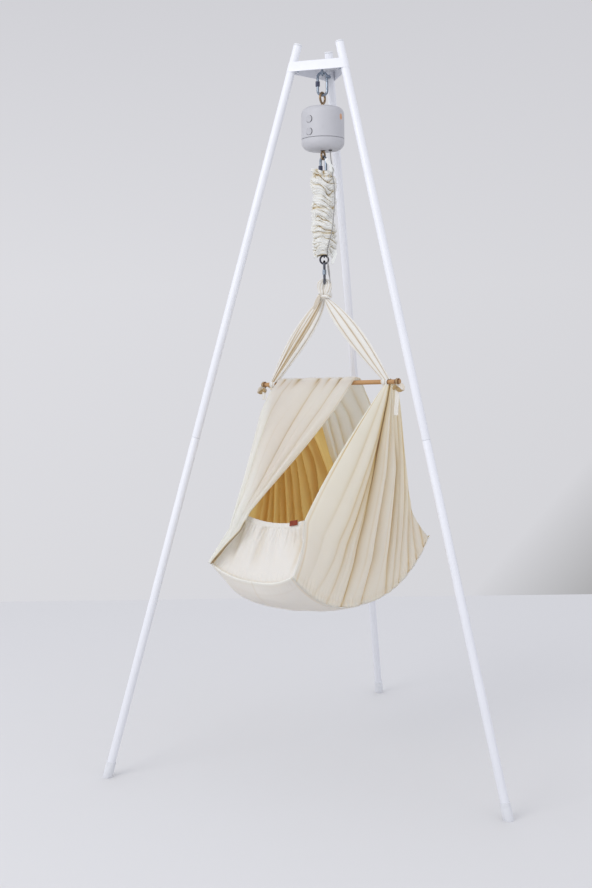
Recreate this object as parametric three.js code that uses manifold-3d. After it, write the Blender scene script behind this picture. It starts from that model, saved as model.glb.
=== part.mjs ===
// A baby cradle of cotton cloth that hangs under a motor unit and a spring in a three legged steel stand.
// Lengths are millimetres and angles degrees, with Z up. The origin is on the floor, in the middle of the
// box that holds the whole object. The back leg points along +Y.

import * as THREE from "three";
import { mergeVertices } from "three/addons/utils/BufferGeometryUtils.js";
import Module from "manifold-3d";

const wasm = await Module();
wasm.setup();

// Clearances that every piece shares
const gap = 0.3;
const overrun = 4;

// The stand
const stand = { height: 1940, footRadius: 616, topRadius: 65, jointShare: 0.467 };
const legAngles = { leftAngle: 210, rightAngle: -30, backAngle: 90 };
const tube = { radius: 11, wall: 1.5, sides: 16 };
const sleeve = { length: 160, wall: 2, sides: 12 };
const topCap = { thickness: 4, plugLength: 15 };
const footCap = { wall: 1.8, length: 42, sole: 12, grooveDepth: 0.7, grooveWidth: 1.6, grooves: 3 };
const bracket = { drop: 47, depth: 26, wall: 3, sideOut: 4, cornerOut: 1, bore: 0.3 };
const bracketBolt = { radius: 3, headRadius: 5.5, headHeight: 4, reach: 9, heightShare: 0.25 };

// The chain of eyes, links, motor unit and spring, from the bracket down
const viewYaw = 15.65;
const hangerEye = { radius: 9, wire: 3, neck: 8.6, collarRadius: 7.5, collarHeight: 3, yaw: 90 };
const hangerNut = { radius: 6.5, height: 6 };
const link = { wire: 3.5, halfWidth: 12.5, straight: 34, opening: 8, nutRadius: 6, nutLength: 13 };
const linkYaws = { topYaw: 0, middleYaw: -55, bottomYaw: 90 };
const motorEye = { radius: 14, wire: 3, neck: 11, stem: 4, collarRadius: 8, collarHeight: 6, yaw: 63 };
const housing = { radius: 57.5, height: 113, topFillet: 20, bottomFillet: 22, wall: 2.5, seam: 29, sides: 24 };
const button = { radius: 9, proud: 2, flange: 1.5, flangeHeight: 2, depth: 7, turn: 39, topDrop: 37,
  pitch: 32.5, sides: 16 };
const lens = { halfWidth: 5, halfHeight: 8, proud: 0.8, turn: 57, drop: 30 };
const inlet = { radius: 7.5, bore: 4.5, depth: 14, boreDepth: 9, proud: 1, turn: -150, drop: 70 };
const grommet = { radius: 3.6, bore: 1.8, flange: 1.2, flangeHeight: 2, right: 19.5, front: 12 };
const chassis = { halfWidth: 16, back: 30, front: 12, wall: 3, boardFront: 31 };
const gearMotor = { radius: 13, length: 26 };
const pinion = { module: 1.5, teeth: 12, width: 8, shaft: 3, drop: 64 };
const rack = { width: 6, teeth: 8, coreBack: 5, rise: 1.4, tip: 1.2, toothShare: 0.4 };
const rod = { radius: 5, length: 92 };
const bushing = { wall: 2.5, flange: 1.5, flangeHeight: 2, length: 9 };
const board = { thickness: 1.6, halfWidth: 20, height: 70 };
const outputEye = { radius: 10, wire: 3, neck: 2.5, yaw: 63 };
const spring = { wire: 2, radius: 12, hook: 9, length: 196, turns: 11, topYaw: 35, bottomYaw: 90 };
const springRing = { radius: 11, wire: 2.5, yaw: 4 };
const cover = { radius: 31, wall: 3, ripple: 2.2, ripples: 11, top: 25, bottom: 5 };
const cord = { radius: 1.25, sides: 8, steps: 54 };

// The cloth cradle. Its own axes are X along the spreader bar, Y towards the head and Z up from the bar.
const cradleYaw = -19.34;
const bar = { radius: 6, halfLength: 228, shift: 9, tilt: 1.73, sides: 16, drop: 269.7 };
const loop = { thickness: 8, clearance: 2, fullness: 17, endThickness: 12, width: 16, spread: 11, neck: 7,
  drop: 34, sides: 10 };
const knot = { height: 14, wall: 4, below: 7, sides: 16 };
const strap = { barPlace: 185, topDepth: 7, midWidth: 26, midDepth: 9, endWidth: 13, endDepth: 8, sides: 16 };
const cloth = { thickness: 3, bellyThickness: 4, seat: 1.2 };
const base = { halfWidth: 130, halfLength: 346, lowDrop: 455, seamDrop: 593, endDepth: 32, middleDepth: 18 };
const rim = { halfWidth: 110, halfLength: 250, drop: 345, dipDepth: 14 };
const fan = { topInner: 185, topOuter: 214, topHalfDepth: 8, folds: 9, foldDepth: 10 };
const mattress = { thickness: 28, edge: 3, seat: 1, widthShare: 0.84, lengthShare: 0.86 };
const drape = { foldDepth: 9, folds: 4 };
const bow = {
  place: 221, width: 8, wall: 2.6, loopRadius: 10, loopWire: 1.8, yaw: 25, tailWidth: 7, tailLength: 80,
};
const tag = { width: 25, height: 12, thickness: 1.6, place: 72 };

// Cloth corners, as shares of the base's and the rim's half width, half length and drop below the bar
const lowCornerShares = {
  footLeft: [-1, -0.997, 0.988],
  footRight: [1, -0.977, 1.016],
  headLeft: [-0.96, 1.012, 0.997],
  headRight: [0.93, 1.02, 1.008],
};
const rimCornerShares = {
  footLeft: [-1, -0.856, 0.996],
  footRight: [1, -1.016, 0.967],
  headLeft: [-1, 1.04, 1.025],
  headRight: [1, 1.06, 1.062],
};
// How far each border of a side panel bows out of its line, as shares of the rim's half width and half length:
// towards the middle and outwards above the rim, and inwards below the rim
const borderBowShares = {
  footLeft: [0, 0, -0.032],
  footRight: [0, 0.012, 0.112],
  headLeft: [0.3, 0.32, 0],
  headRight: [0, 0.048, 0],
};
// The drape's two long edges from the head's rim over the bar to the foot's left corner, as shares of the
// rim's half width, half length and drop, with how far down its length each pair of points lies
const drapeLengthShares = [0, 0.14, 0.3, 0.425, 0.44, 0.455, 0.53, 0.63, 0.72, 0.82, 0.91, 1];
const drapeLeftShares = [
  [-0.93, 1.0, 1.0], [-0.85, 0.6, 0.62], [-0.66, 0.26, 0.27], [-1.0, 0, 0], [-1.4, 0, 0],
  [-1.42, 0, 0], [-1.66, -0.17, 0.24], [-1.56, -0.4, 0.49], [-1.42, -0.63, 0.76],
  [-1.35, -0.83, 0.985], [-1.08, -1.05, 1.1], [-1.12, -1.32, 1.28],
];
const drapeRightShares = [
  [0.92, 1.02, 1.03], [1.0, 0.64, 0.68], [1.06, 0.27, 0.3], [1.0, 0, 0], [0.96, 0, 0],
  [0.9, 0, 0], [0.6, -0.17, 0.22], [0.12, -0.4, 0.49], [-0.42, -0.63, 0.76],
  [-0.92, -0.83, 0.985], [-0.95, -1.05, 1.1], [-0.99, -1.32, 1.28],
];
const coverShares = [0.7, 0.98, 1.06, 0.94, 1.07, 1.02, 0.84, 1.04, 1.08, 1.02, 0.88, 1.05, 1.08, 0.96, 0.68];

// The safety cord's route: right of the axis, in front of it, and height above the bottom link's lower wire
const cordRoute = [
  [17.55, 12, 387], [19.5, 12, 358], [19.5, 12, 341], [22, 18, 319], [26, 28, 298], [24, 31, 284],
  [28, 27.5, 262], [30, 26, 235], [29, 27.5, 205], [26, 30, 178], [23.5, 32, 150], [18, 35, 124],
  [12, 37, 100], [8, 36, 84], [9.5, 28, 70], [9.5, 22, 54], [11.3, 18.5, 36], [14, 15.5, 16], [15.5, 12.6, 0],
];

const radians = THREE.MathUtils.degToRad;
const { lerp, smoothstep } = THREE.MathUtils;
const upright = Math.PI / 2;
const fullTurn = 2 * Math.PI;

// Heights that follow from the sizes above
const bracketTop = stand.height - bracket.drop;
const bracketUnder = bracketTop - bracket.wall;
const linkPitch = link.straight + 2 * link.halfWidth;
const hangerEyeHeight = bracketUnder - hangerEye.neck - hangerEye.radius;
const hangerEyeBottom = hangerEyeHeight - hangerEye.radius + hangerEye.wire;
const topLinkHeight = hangerEyeBottom + link.wire + gap - linkPitch / 2;
const motorEyeHeight = topLinkHeight - linkPitch / 2 + link.wire + motorEye.wire + gap - motorEye.radius;
const housingTop = motorEyeHeight - motorEye.radius - motorEye.neck;
const housingBottom = housingTop - housing.height;
const outputEyeHeight = housingBottom - outputEye.neck - outputEye.radius;
const outputEyeBottom = outputEyeHeight - outputEye.radius + outputEye.wire;
const middleLinkHeight = outputEyeBottom + link.wire + gap - linkPitch / 2;
const topHookHeight = middleLinkHeight - linkPitch / 2 + link.wire + spring.wire + gap - spring.hook;
const bottomHookHeight = topHookHeight - spring.length;
const bottomHookWire = bottomHookHeight - spring.hook + spring.wire;
const springRingHeight = bottomHookWire + springRing.wire + gap - springRing.radius;
const springRingBottom = springRingHeight - springRing.radius + springRing.wire;
const bottomLinkHeight = springRingBottom + link.wire + gap - linkPitch / 2;
const bottomWire = bottomLinkHeight - linkPitch / 2;
const barHeight = bottomWire - bar.drop;
const legTilt = Math.atan2(stand.footRadius - stand.topRadius, stand.height);
const legLength = Math.hypot(stand.footRadius - stand.topRadius, stand.height);
const tubeBore = tube.radius - tube.wall;

function solidFrom(geometry) {
  const bare = geometry.index ? geometry.toNonIndexed() : geometry.clone();
  bare.deleteAttribute("normal");
  bare.deleteAttribute("uv");
  const merged = mergeVertices(bare);
  const triVerts = new Uint32Array(merged.index.array);
  return new wasm.Manifold(
    new wasm.Mesh({ numProp: 3, vertProperties: merged.attributes.position.array, triVerts }),
  );
}

function geometryFrom(solid) {
  const mesh = solid.getMesh();
  const geometry = new THREE.BufferGeometry();
  geometry.setAttribute("position", new THREE.BufferAttribute(mesh.vertProperties, 3));
  geometry.setIndex(new THREE.BufferAttribute(mesh.triVerts, 1));
  return geometry;
}

function join(...shapes) {
  return geometryFrom(shapes.map(solidFrom).reduce((whole, part) => whole.add(part)));
}

function cut(shape, ...tools) {
  return geometryFrom(tools.map(solidFrom).reduce((left, tool) => left.subtract(tool), solidFrom(shape)));
}

// A profile of [radius, height] points turned about Z. A closed profile repeats its first point.
function turned(profile, sides) {
  const points = profile.map(([radius, height]) => new THREE.Vector2(radius, height));
  return new THREE.LatheGeometry(points, sides).rotateX(upright);
}

function pipe(inner, outer, bottom, top, sides) {
  return turned([[inner, bottom], [outer, bottom], [outer, top], [inner, top], [inner, bottom]], sides);
}

function puck(radius, bottom, top, sides = 16) {
  return new THREE.CylinderGeometry(radius, radius, top - bottom, sides)
    .rotateX(upright)
    .translate(0, 0, (bottom + top) / 2);
}

function block(left, right, front, back, bottom, top) {
  return new THREE.BoxGeometry(right - left, back - front, top - bottom)
    .translate((left + right) / 2, (front + back) / 2, (bottom + top) / 2);
}

// A wire ring that stands upright in the XZ plane, turned about Z by yaw
function uprightRing(radius, wire, height, yaw) {
  return new THREE.TorusGeometry(radius, wire, 6, 16)
    .rotateX(upright)
    .rotateZ(radians(yaw))
    .translate(0, 0, height);
}

// Points of an arc of a profile from one angle to another, without its first point
function arc(centreRadius, centreHeight, radius, from, to, steps) {
  return Array.from({ length: steps }, (_, i) => {
    const angle = radians(lerp(from, to, (i + 1) / steps));
    return [centreRadius + radius * Math.cos(angle), centreHeight + radius * Math.sin(angle)];
  });
}

// A closed skin over rings of equally many points. The rings close on themselves, or end in flat caps.
function skin(rings, closed = false) {
  const count = rings[0].length;
  const points = rings.flat();
  const faces = [];
  const last = closed ? rings.length : rings.length - 1;
  for (let i = 0; i < last; i++) {
    const next = (i + 1) % rings.length;
    for (let j = 0; j < count; j++) {
      const side = (j + 1) % count;
      const [a, b, c, d] = [i * count + j, next * count + j, next * count + side, i * count + side];
      faces.push(a, c, b, a, d, c);
    }
  }
  if (!closed) {
    const middle = (ring) => ring.reduce((sum, p) => sum.add(p), new THREE.Vector3()).divideScalar(count);
    points.push(middle(rings[0]), middle(rings.at(-1)));
    const end = (rings.length - 1) * count;
    for (let j = 0; j < count; j++) {
      const side = (j + 1) % count;
      faces.push(points.length - 2, side, j, points.length - 1, end + j, end + side);
    }
  }
  const geometry = new THREE.BufferGeometry().setFromPoints(points);
  geometry.setIndex(faces);
  return geometry;
}

// A sheet of even thickness about the surface that pointAt(a, b) gives for the listed shares a and b
function sheet(pointAt, rows, columns, thickness) {
  const grid = rows.map((a) => columns.map((b) => pointAt(a, b)));
  const clampRow = (i) => THREE.MathUtils.clamp(i, 0, rows.length - 1);
  const clampColumn = (j) => THREE.MathUtils.clamp(j, 0, columns.length - 1);
  const offset = (i, j, way) => {
    const along = grid[clampRow(i + 1)][j].clone().sub(grid[clampRow(i - 1)][j]);
    const across = grid[i][clampColumn(j + 1)].clone().sub(grid[i][clampColumn(j - 1)]);
    return along.cross(across).normalize().multiplyScalar(way * thickness / 2).add(grid[i][j]);
  };
  // Each row becomes one ring: out along the near face and back along the far face
  const rings = rows.map((_, i) => [
    ...columns.map((_, j) => offset(i, j, 1)),
    ...columns.map((_, j) => offset(i, columns.length - 1 - j, -1)),
  ]);
  return stripEnds(rings);
}

// The skin of a sheet's rings, whose two ends close with a strip of quads
function stripEnds(rings) {
  const count = rings[0].length;
  const faces = [];
  for (let i = 0; i < rings.length - 1; i++) {
    for (let j = 0; j < count; j++) {
      const side = (j + 1) % count;
      const [a, b, c, d] = [i * count + j, (i + 1) * count + j, (i + 1) * count + side, i * count + side];
      faces.push(a, b, c, a, c, d);
    }
  }
  const end = (rings.length - 1) * count;
  for (let j = 0; j < count / 2 - 1; j++) {
    const [a, b, c, d] = [j, j + 1, count - 2 - j, count - 1 - j];
    faces.push(a, b, c, a, c, d, end + a, end + c, end + b, end + a, end + d, end + c);
  }
  const geometry = new THREE.BufferGeometry().setFromPoints(rings.flat());
  geometry.setIndex(faces);
  return geometry;
}

function shares(count, from = 0, to = 1) {
  return Array.from({ length: count + 1 }, (_, i) => lerp(from, to, i / count));
}

// A round wire along a curve
function wireAlong(curve, radius, sides, steps) {
  const section = new THREE.Shape(shares(sides - 1).map((_, k) => new THREE.Vector2(
    radius * Math.cos(fullTurn * k / sides),
    radius * Math.sin(fullTurn * k / sides),
  )));
  return new THREE.ExtrudeGeometry(section, { extrudePath: curve, steps, bevelEnabled: false });
}

const finish = {
  powderCoat: { color: 0xf1f2f4, roughness: 0.35, metalness: 0.1 },
  whitePlastic: { color: 0xf3f3f3, roughness: 0.5, metalness: 0 },
  zinc: { color: 0xa9b1bb, roughness: 0.3, metalness: 1 },
  yellowZinc: { color: 0xa8875c, roughness: 0.35, metalness: 1 },
  darkSteel: { color: 0x44454c, roughness: 0.35, metalness: 1 },
  greyPlastic: { color: 0xc3c3c6, roughness: 0.45, metalness: 0 },
  buttonPlastic: { color: 0xb9b9bc, roughness: 0.55, metalness: 0 },
  amberLens: { color: 0xc08a62, roughness: 0.25, metalness: 0 },
  blackPlastic: { color: 0x1c1c1e, roughness: 0.5, metalness: 0 },
  circuitGreen: { color: 0x1f5b3a, roughness: 0.5, metalness: 0 },
  greyCord: { color: 0xb4b2b0, roughness: 0.8, metalness: 0 },
  cotton: { color: 0xe3ddd2, roughness: 0.95, metalness: 0 },
  wood: { color: 0xc99a6b, roughness: 0.6, metalness: 0 },
  leather: { color: 0x8a3f2c, roughness: 0.6, metalness: 0 },
};

function piece(name, geometry, look) {
  const mesh = new THREE.Mesh(geometry, new THREE.MeshStandardMaterial(finish[look]));
  mesh.name = name;
  return mesh;
}

function group(...children) {
  const made = new THREE.Group();
  made.add(...children);
  return made;
}

// The stand

// One leg stands on its foot point with Z along the tube and X towards the stand's axis.
const legJoint = legLength * stand.jointShare;
const legTubeTop = legLength - topCap.thickness - gap;

// How far from the stand's axis the middle of a leg is at a height
function legRadiusAt(height) {
  return lerp(stand.footRadius, stand.topRadius, height / stand.height);
}

function footCapShape() {
  const inner = tube.radius + gap;
  const outer = inner + footCap.wall;
  const grooveStart = footCap.length - 2 * footCap.grooves * footCap.grooveWidth - footCap.wall;
  const profile = [[0, 0], [outer, 0]];
  for (let i = 0; i < footCap.grooves; i++) {
    const low = grooveStart + 2 * i * footCap.grooveWidth;
    const bottom = low + footCap.grooveWidth / 2;
    profile.push([outer, low], [outer - footCap.grooveDepth, bottom], [outer, low + footCap.grooveWidth]);
  }
  profile.push([outer, footCap.length], [inner, footCap.length], [inner, footCap.sole], [0, footCap.sole]);
  const cap = turned(profile, tube.sides);
  // The sole is cut level with the floor, so its points slide along the tube
  const place = cap.attributes.position;
  for (let i = 0; i < place.count; i++) {
    if (Math.abs(place.getZ(i)) < gap / 2) place.setZ(i, place.getX(i) * Math.tan(legTilt));
  }
  return cap;
}

function boltAxis(shape, radialStart) {
  // Lays a shape that stands on Z along the stand's radius, outwards from radialStart
  return shape.rotateY(upright).translate(radialStart, 0, 0);
}

const boltHeight = bracketUnder - bracket.depth * (1 - bracketBolt.heightShare) + bracket.wall;
const cornerWall = legRadiusAt(boltHeight) - tube.radius / Math.cos(legTilt) - gap - bracket.cornerOut;

// The same cylinder, in the frame of a leg
function boltHoleInLeg() {
  const radius = bracketBolt.radius + gap;
  const hole = boltAxis(puck(radius, -overrun, bracketBolt.reach + overrun), cornerWall - bracket.wall);
  hole.translate(-stand.footRadius, 0, boltHeight);
  return hole.rotateZ(Math.PI).rotateY(-legTilt);
}

function legTop() {
  const shape = pipe(tubeBore, tube.radius, legJoint + gap, legTubeTop, tube.sides);
  return cut(shape, boltHoleInLeg());
}

function topCapShape() {
  const plug = tubeBore - gap;
  const low = legTubeTop - topCap.plugLength;
  const seat = legTubeTop + gap;
  const profile = [
    [0, low], [plug, low], [plug, seat], [tube.radius, seat], [tube.radius, legLength], [0, legLength],
  ];
  return turned(profile, tube.sides);
}

function makeLeg(side, angle) {
  const sleeveOuter = tubeBore - gap;
  const lowerTube = pipe(tubeBore, tube.radius, footCap.sole + gap, legJoint, tube.sides);
  const halfSleeve = sleeve.length / 2;
  const sleeveTube = pipe(sleeveOuter - sleeve.wall, sleeveOuter, -halfSleeve, halfSleeve, sleeve.sides);
  const leg = group(
    piece(`foot_cap_${side}`, footCapShape(), "whitePlastic"),
    piece(`leg_lower_${side}`, lowerTube, "powderCoat"),
    piece(`leg_sleeve_${side}`, sleeveTube.translate(0, 0, legJoint), "zinc"),
    piece(`leg_upper_${side}`, legTop(), "powderCoat"),
    piece(`leg_top_cap_${side}`, topCapShape(), "whitePlastic"),
  );
  leg.rotation.y = legTilt;
  leg.rotation.z = Math.PI;
  leg.rotation.order = "ZYX";
  leg.position.x = stand.footRadius;
  const spoke = group(leg);
  spoke.rotation.z = radians(angle);
  return spoke;
}

const legs = { left: legAngles.leftAngle, right: legAngles.rightAngle, back: legAngles.backAngle };

function legBore(angle) {
  const start = (bracketTop - 2 * bracket.depth) / Math.cos(legTilt);
  const bore = puck(tube.radius + bracket.bore, start, legLength + overrun, tube.sides);
  return bore.rotateY(-legTilt).translate(stand.footRadius, 0, 0).rotateZ(radians(angle));
}

// A triangle whose sides stand at one distance from the axis and whose corners are cut off at another
function bracketOutline(sideDistance, cornerDistance) {
  const half = (sideDistance / Math.cos(radians(60)) - cornerDistance) * Math.tan(radians(30));
  const middle = new THREE.Vector2();
  const corners = Object.values(legs).sort((a, b) => a - b).flatMap((angle) => [-half, half].map((across) =>
    new THREE.Vector2(cornerDistance, across).rotateAround(middle, radians(angle))));
  return new THREE.Shape(corners);
}

function bracketShape() {
  const sideDistance = legRadiusAt(boltHeight) / 2 + bracket.sideOut;
  const outside = new THREE.ExtrudeGeometry(bracketOutline(sideDistance, cornerWall),
    { depth: bracket.depth, bevelEnabled: false });
  const insideOutline = bracketOutline(sideDistance - bracket.wall, cornerWall - bracket.wall);
  const inside = new THREE.ExtrudeGeometry(insideOutline, { depth: bracket.depth, bevelEnabled: false });
  outside.translate(0, 0, bracketTop - bracket.depth);
  inside.translate(0, 0, bracketTop - bracket.depth - bracket.wall);
  const holes = Object.values(legs).map((angle) =>
    boltAxis(puck(bracketBolt.radius + gap, -overrun, bracketBolt.reach), cornerWall - bracket.wall)
      .translate(0, 0, boltHeight).rotateZ(radians(angle)));
  const eyeHole = puck(hangerEye.wire + gap, bracketUnder - overrun, bracketTop + overrun);
  return cut(outside, inside, ...Object.values(legs).map(legBore), ...holes, eyeHole);
}

function bracketBoltShape(angle) {
  const head = puck(bracketBolt.headRadius, -bracketBolt.headHeight - gap, -gap, 6);
  const shank = puck(bracketBolt.radius, -bracketBolt.headHeight, bracketBolt.reach, 10);
  const bolt = boltAxis(join(head, shank), cornerWall - bracket.wall);
  return bolt.translate(0, 0, boltHeight).rotateZ(radians(angle));
}

function nutShape(radius, bore, bottom, top) {
  return cut(puck(radius, bottom, top, 6), puck(bore, bottom - overrun, top + overrun, 12));
}

function hangerEyeShape() {
  const collarTop = bracketUnder - gap;
  const ringTop = hangerEyeHeight + hangerEye.radius;
  return join(
    uprightRing(hangerEye.radius, hangerEye.wire, hangerEyeHeight, hangerEye.yaw + viewYaw),
    puck(hangerEye.wire, ringTop, bracketTop + gap + hangerNut.height + hangerEye.wire),
    puck(hangerEye.collarRadius, collarTop - hangerEye.collarHeight, collarTop),
  );
}

function makeStand() {
  const nutBottom = bracketTop + gap;
  const nutTop = nutBottom + hangerNut.height;
  return group(
    piece("top_bracket", bracketShape(), "powderCoat"),
    piece("hanger_eye_bolt", hangerEyeShape(), "zinc"),
    piece("hanger_nut", nutShape(hangerNut.radius, hangerEye.wire + gap, nutBottom, nutTop), "zinc"),
    ...Object.entries(legs).flatMap(([side, angle]) => [
      piece(`bracket_bolt_${side}`, bracketBoltShape(angle), "zinc"),
      makeLeg(side, angle),
    ]),
  );
}

// The suspension

// A quick link is a wire oval with an opening in its left side, which a sleeve nut bridges.
function linkShape() {
  const { halfWidth, straight, opening, wire } = link;
  const half = straight / 2;
  const path = new THREE.CurvePath();
  const corner = (x, z) => new THREE.Vector3(x, 0, z);
  const bend = (height, from, to) => new THREE.CatmullRomCurve3(
    shares(6).map((s) => {
      const angle = radians(lerp(from, to, s));
      return corner(halfWidth * Math.cos(angle), height + halfWidth * Math.sin(angle));
    }));
  path.add(new THREE.LineCurve3(corner(-halfWidth, -opening / 2), corner(-halfWidth, -half)));
  path.add(bend(-half, 180, 360));
  path.add(new THREE.LineCurve3(corner(halfWidth, -half), corner(halfWidth, half)));
  path.add(bend(half, 0, 180));
  path.add(new THREE.LineCurve3(corner(-halfWidth, half), corner(-halfWidth, opening / 2)));
  return wireAlong(path, wire, 6, 24);
}

function makeLink(name, height, yaw) {
  const nut = nutShape(link.nutRadius, link.wire + gap, -link.nutLength / 2, link.nutLength / 2);
  nut.translate(-link.halfWidth, 0, 0);
  const made = group(
    piece(`${name}_quick_link`, linkShape(), "zinc"),
    piece(`${name}_link_nut`, nut, "zinc"),
  );
  made.position.z = height;
  made.rotation.z = radians(yaw);
  return made;
}

// The eye's stem passes through the shell and the chassis and ends in a collar under the chassis plate
function motorEyeShape() {
  const collarTop = chassisCeiling - chassis.wall - gap;
  return join(
    uprightRing(motorEye.radius, motorEye.wire, motorEyeHeight, motorEye.yaw),
    puck(motorEye.stem, collarTop - motorEye.collarHeight, motorEyeHeight - motorEye.radius),
    puck(motorEye.collarRadius, collarTop - motorEye.collarHeight, collarTop, 6),
  );
}

// The housing's profile from the bottom's middle to the top's middle, moved in by a wall
function housingOutline(inset) {
  const { radius, bottomFillet, topFillet } = housing;
  return {
    bottom: [[radius - bottomFillet, housingBottom + inset],
      ...arc(radius - bottomFillet, housingBottom + bottomFillet, bottomFillet - inset, -90, 0, 3)],
    top: [[radius - inset, housingTop - topFillet],
      ...arc(radius - topFillet, housingTop - topFillet, topFillet - inset, 0, 90, 3)],
  };
}

const seamHeight = housingBottom + housing.seam;

function facing(turn) {
  // The direction of a housing fitting, turned about Z from the side that faces the front
  return radians(turn) - upright;
}

// A shape built along Z, laid outwards from the axis in the direction of turn
function laidOut(shape, turn, height) {
  return shape.rotateY(upright).rotateZ(facing(turn)).translate(0, 0, height);
}

const upperButtonHeight = housingTop - button.topDrop;
const buttonHeights = { upper: upperButtonHeight, lower: upperButtonHeight - button.pitch };

function lensCylinder(extra, from, to) {
  const shape = puck(lens.halfWidth + extra, from, to, 20);
  shape.scale((lens.halfHeight + extra) / (lens.halfWidth + extra), 1, 1);
  return laidOut(shape, lens.turn, housingTop - lens.drop);
}

function lensShape() {
  return lensCylinder(0, housing.radius - 2 * housing.wall, housing.radius + lens.proud);
}

function upperShellShape() {
  const hole = motorEye.stem + gap;
  const outer = housingOutline(0).top;
  const inner = housingOutline(housing.wall).top;
  const low = seamHeight + gap;
  const profile = [
    [housing.radius - housing.wall, low], [housing.radius, low], ...outer,
    [hole, housingTop], [hole, housingTop - housing.wall], ...inner.reverse(),
    [housing.radius - housing.wall, low],
  ];
  const reach = [housing.radius - housing.wall - 2 * overrun, housing.radius + overrun];
  const buttonHoles = Object.values(buttonHeights).map((height) =>
    laidOut(puck(button.radius + gap, ...reach), -button.turn, height));
  const inletHole = laidOut(puck(inlet.radius + gap, ...reach), inlet.turn, housingTop - inlet.drop);
  return cut(turned(profile, housing.sides), ...buttonHoles, lensCylinder(gap, ...reach), inletHole);
}

function grommetPlace(shape) {
  return shape.translate(grommet.right, -grommet.front, 0);
}

function lowerShellShape() {
  const hole = rod.radius + bushing.wall + gap;
  const outer = housingOutline(0).bottom;
  const inner = housingOutline(housing.wall).bottom;
  const profile = [
    [hole, housingBottom], ...outer, [housing.radius - housing.wall, seamHeight], ...inner.reverse(),
    [hole, housingBottom + housing.wall], [hole, housingBottom],
  ];
  profile[profile.length - 3 - inner.length] = [housing.radius, seamHeight];
  profile.splice(profile.length - 2 - inner.length, 0, [housing.radius - housing.wall, seamHeight]);
  const grommetHole = puck(grommet.radius + gap, housingBottom - overrun, housingBottom + overrun);
  return cut(turned(profile, housing.sides), grommetPlace(grommetHole));
}

function buttonShape(height) {
  const face = housing.radius + button.proud;
  const wallInside = housing.radius - housing.wall;
  const flangeRadius = button.radius + button.flange;
  const seat = Math.sqrt(wallInside ** 2 - flangeRadius ** 2) * Math.cos(Math.PI / housing.sides) - gap;
  const shape = turned([
    [0, seat - button.depth], [button.radius / 2, seat - button.depth],
    [button.radius / 2, seat - button.flangeHeight], [flangeRadius, seat - button.flangeHeight],
    [flangeRadius, seat], [button.radius, seat],
    [button.radius, face - button.proud / 2], [button.radius - button.proud / 2, face], [0, face],
  ], button.sides);
  return laidOut(shape, -button.turn, height);
}

function inletShape() {
  const face = housing.radius + inlet.proud;
  const body = puck(inlet.radius, face - inlet.depth, face);
  const bore = puck(inlet.bore, face - inlet.boreDepth, face + overrun, 12);
  return laidOut(cut(body, bore), inlet.turn, housingTop - inlet.drop);
}

function grommetShape() {
  const low = housingBottom - gap - grommet.flangeHeight;
  const neckTop = housingBottom + housing.wall;
  const wide = grommet.radius + grommet.flange;
  return grommetPlace(turned([
    [grommet.bore, low], [wide, low], [wide, housingBottom - gap], [grommet.radius, housingBottom - gap],
    [grommet.radius, neckTop], [grommet.bore, neckTop], [grommet.bore, low],
  ], 14));
}

// The drive inside: a motor turns a pinion, whose rack lifts and lowers the rod that carries the spring
const chassisFloor = housingBottom + housing.wall + gap;
const chassisCeiling = housingTop - housing.wall - gap;
const pinionHeight = housingTop - pinion.drop;
const pitchRadius = pinion.module * pinion.teeth / 2;
const rackPitchLine = rack.coreBack + rack.rise;
const pinionBack = rackPitchLine + pitchRadius;
const toothPitch = Math.PI * pinion.module;

function shaftHole(radius, from, to) {
  return puck(radius, from, to, 14).rotateY(upright).translate(0, pinionBack, pinionHeight);
}

function chassisShape() {
  const { halfWidth, back, front, wall, boardFront } = chassis;
  const floorTop = chassisFloor + wall;
  const ceilingBottom = chassisCeiling - wall;
  const frameShape = join(
    block(-halfWidth, halfWidth, -boardFront, back, chassisFloor, floorTop),
    block(-halfWidth, halfWidth, -front, back, ceilingBottom, chassisCeiling),
    block(-halfWidth, wall - halfWidth, -front, back, floorTop - gap, ceilingBottom + gap),
    block(halfWidth - wall, halfWidth, -front, back, floorTop - gap, ceilingBottom + gap),
  );
  const bushingHole = puck(rod.radius + bushing.wall + gap, chassisFloor - overrun, floorTop + overrun);
  const eyeHole = puck(motorEye.stem + gap, ceilingBottom - overrun, chassisCeiling + overrun);
  return cut(frameShape, bushingHole, eyeHole, shaftHole(pinion.shaft + gap, -2 * halfWidth, 2 * halfWidth));
}

function gearMotorShape() {
  const start = chassis.halfWidth + gap;
  return puck(gearMotor.radius, start, start + gearMotor.length, 20)
    .rotateY(upright).translate(0, pinionBack, pinionHeight);
}

function pinionShape() {
  const root = pitchRadius - rack.rise;
  const tip = pitchRadius + rack.tip;
  // Each tooth takes a share of its pitch at the root and a smaller one at the tip
  const toothShares = [0.2, 0.39, 0.61, 0.8];
  const teeth = Array.from({ length: pinion.teeth }, (_, tooth) => toothShares.map((share, k) => {
    const angle = fullTurn * (tooth + share) / pinion.teeth;
    const radius = k === 0 || k === 3 ? root : tip;
    return new THREE.Vector2(radius * Math.cos(angle), radius * Math.sin(angle));
  }));
  const outline = new THREE.Shape(teeth.flat());
  const wheel = new THREE.ExtrudeGeometry(outline, { depth: pinion.width, bevelEnabled: false });
  wheel.translate(0, 0, -pinion.width / 2).rotateZ(Math.PI);
  const shaft = puck(pinion.shaft, -chassis.halfWidth, chassis.halfWidth, 12);
  // The gap between two teeth faces the rack
  wheel.rotateX(upright).rotateZ(upright);
  return join(wheel, shaft.rotateY(upright)).translate(0, pinionBack, pinionHeight);
}

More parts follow.
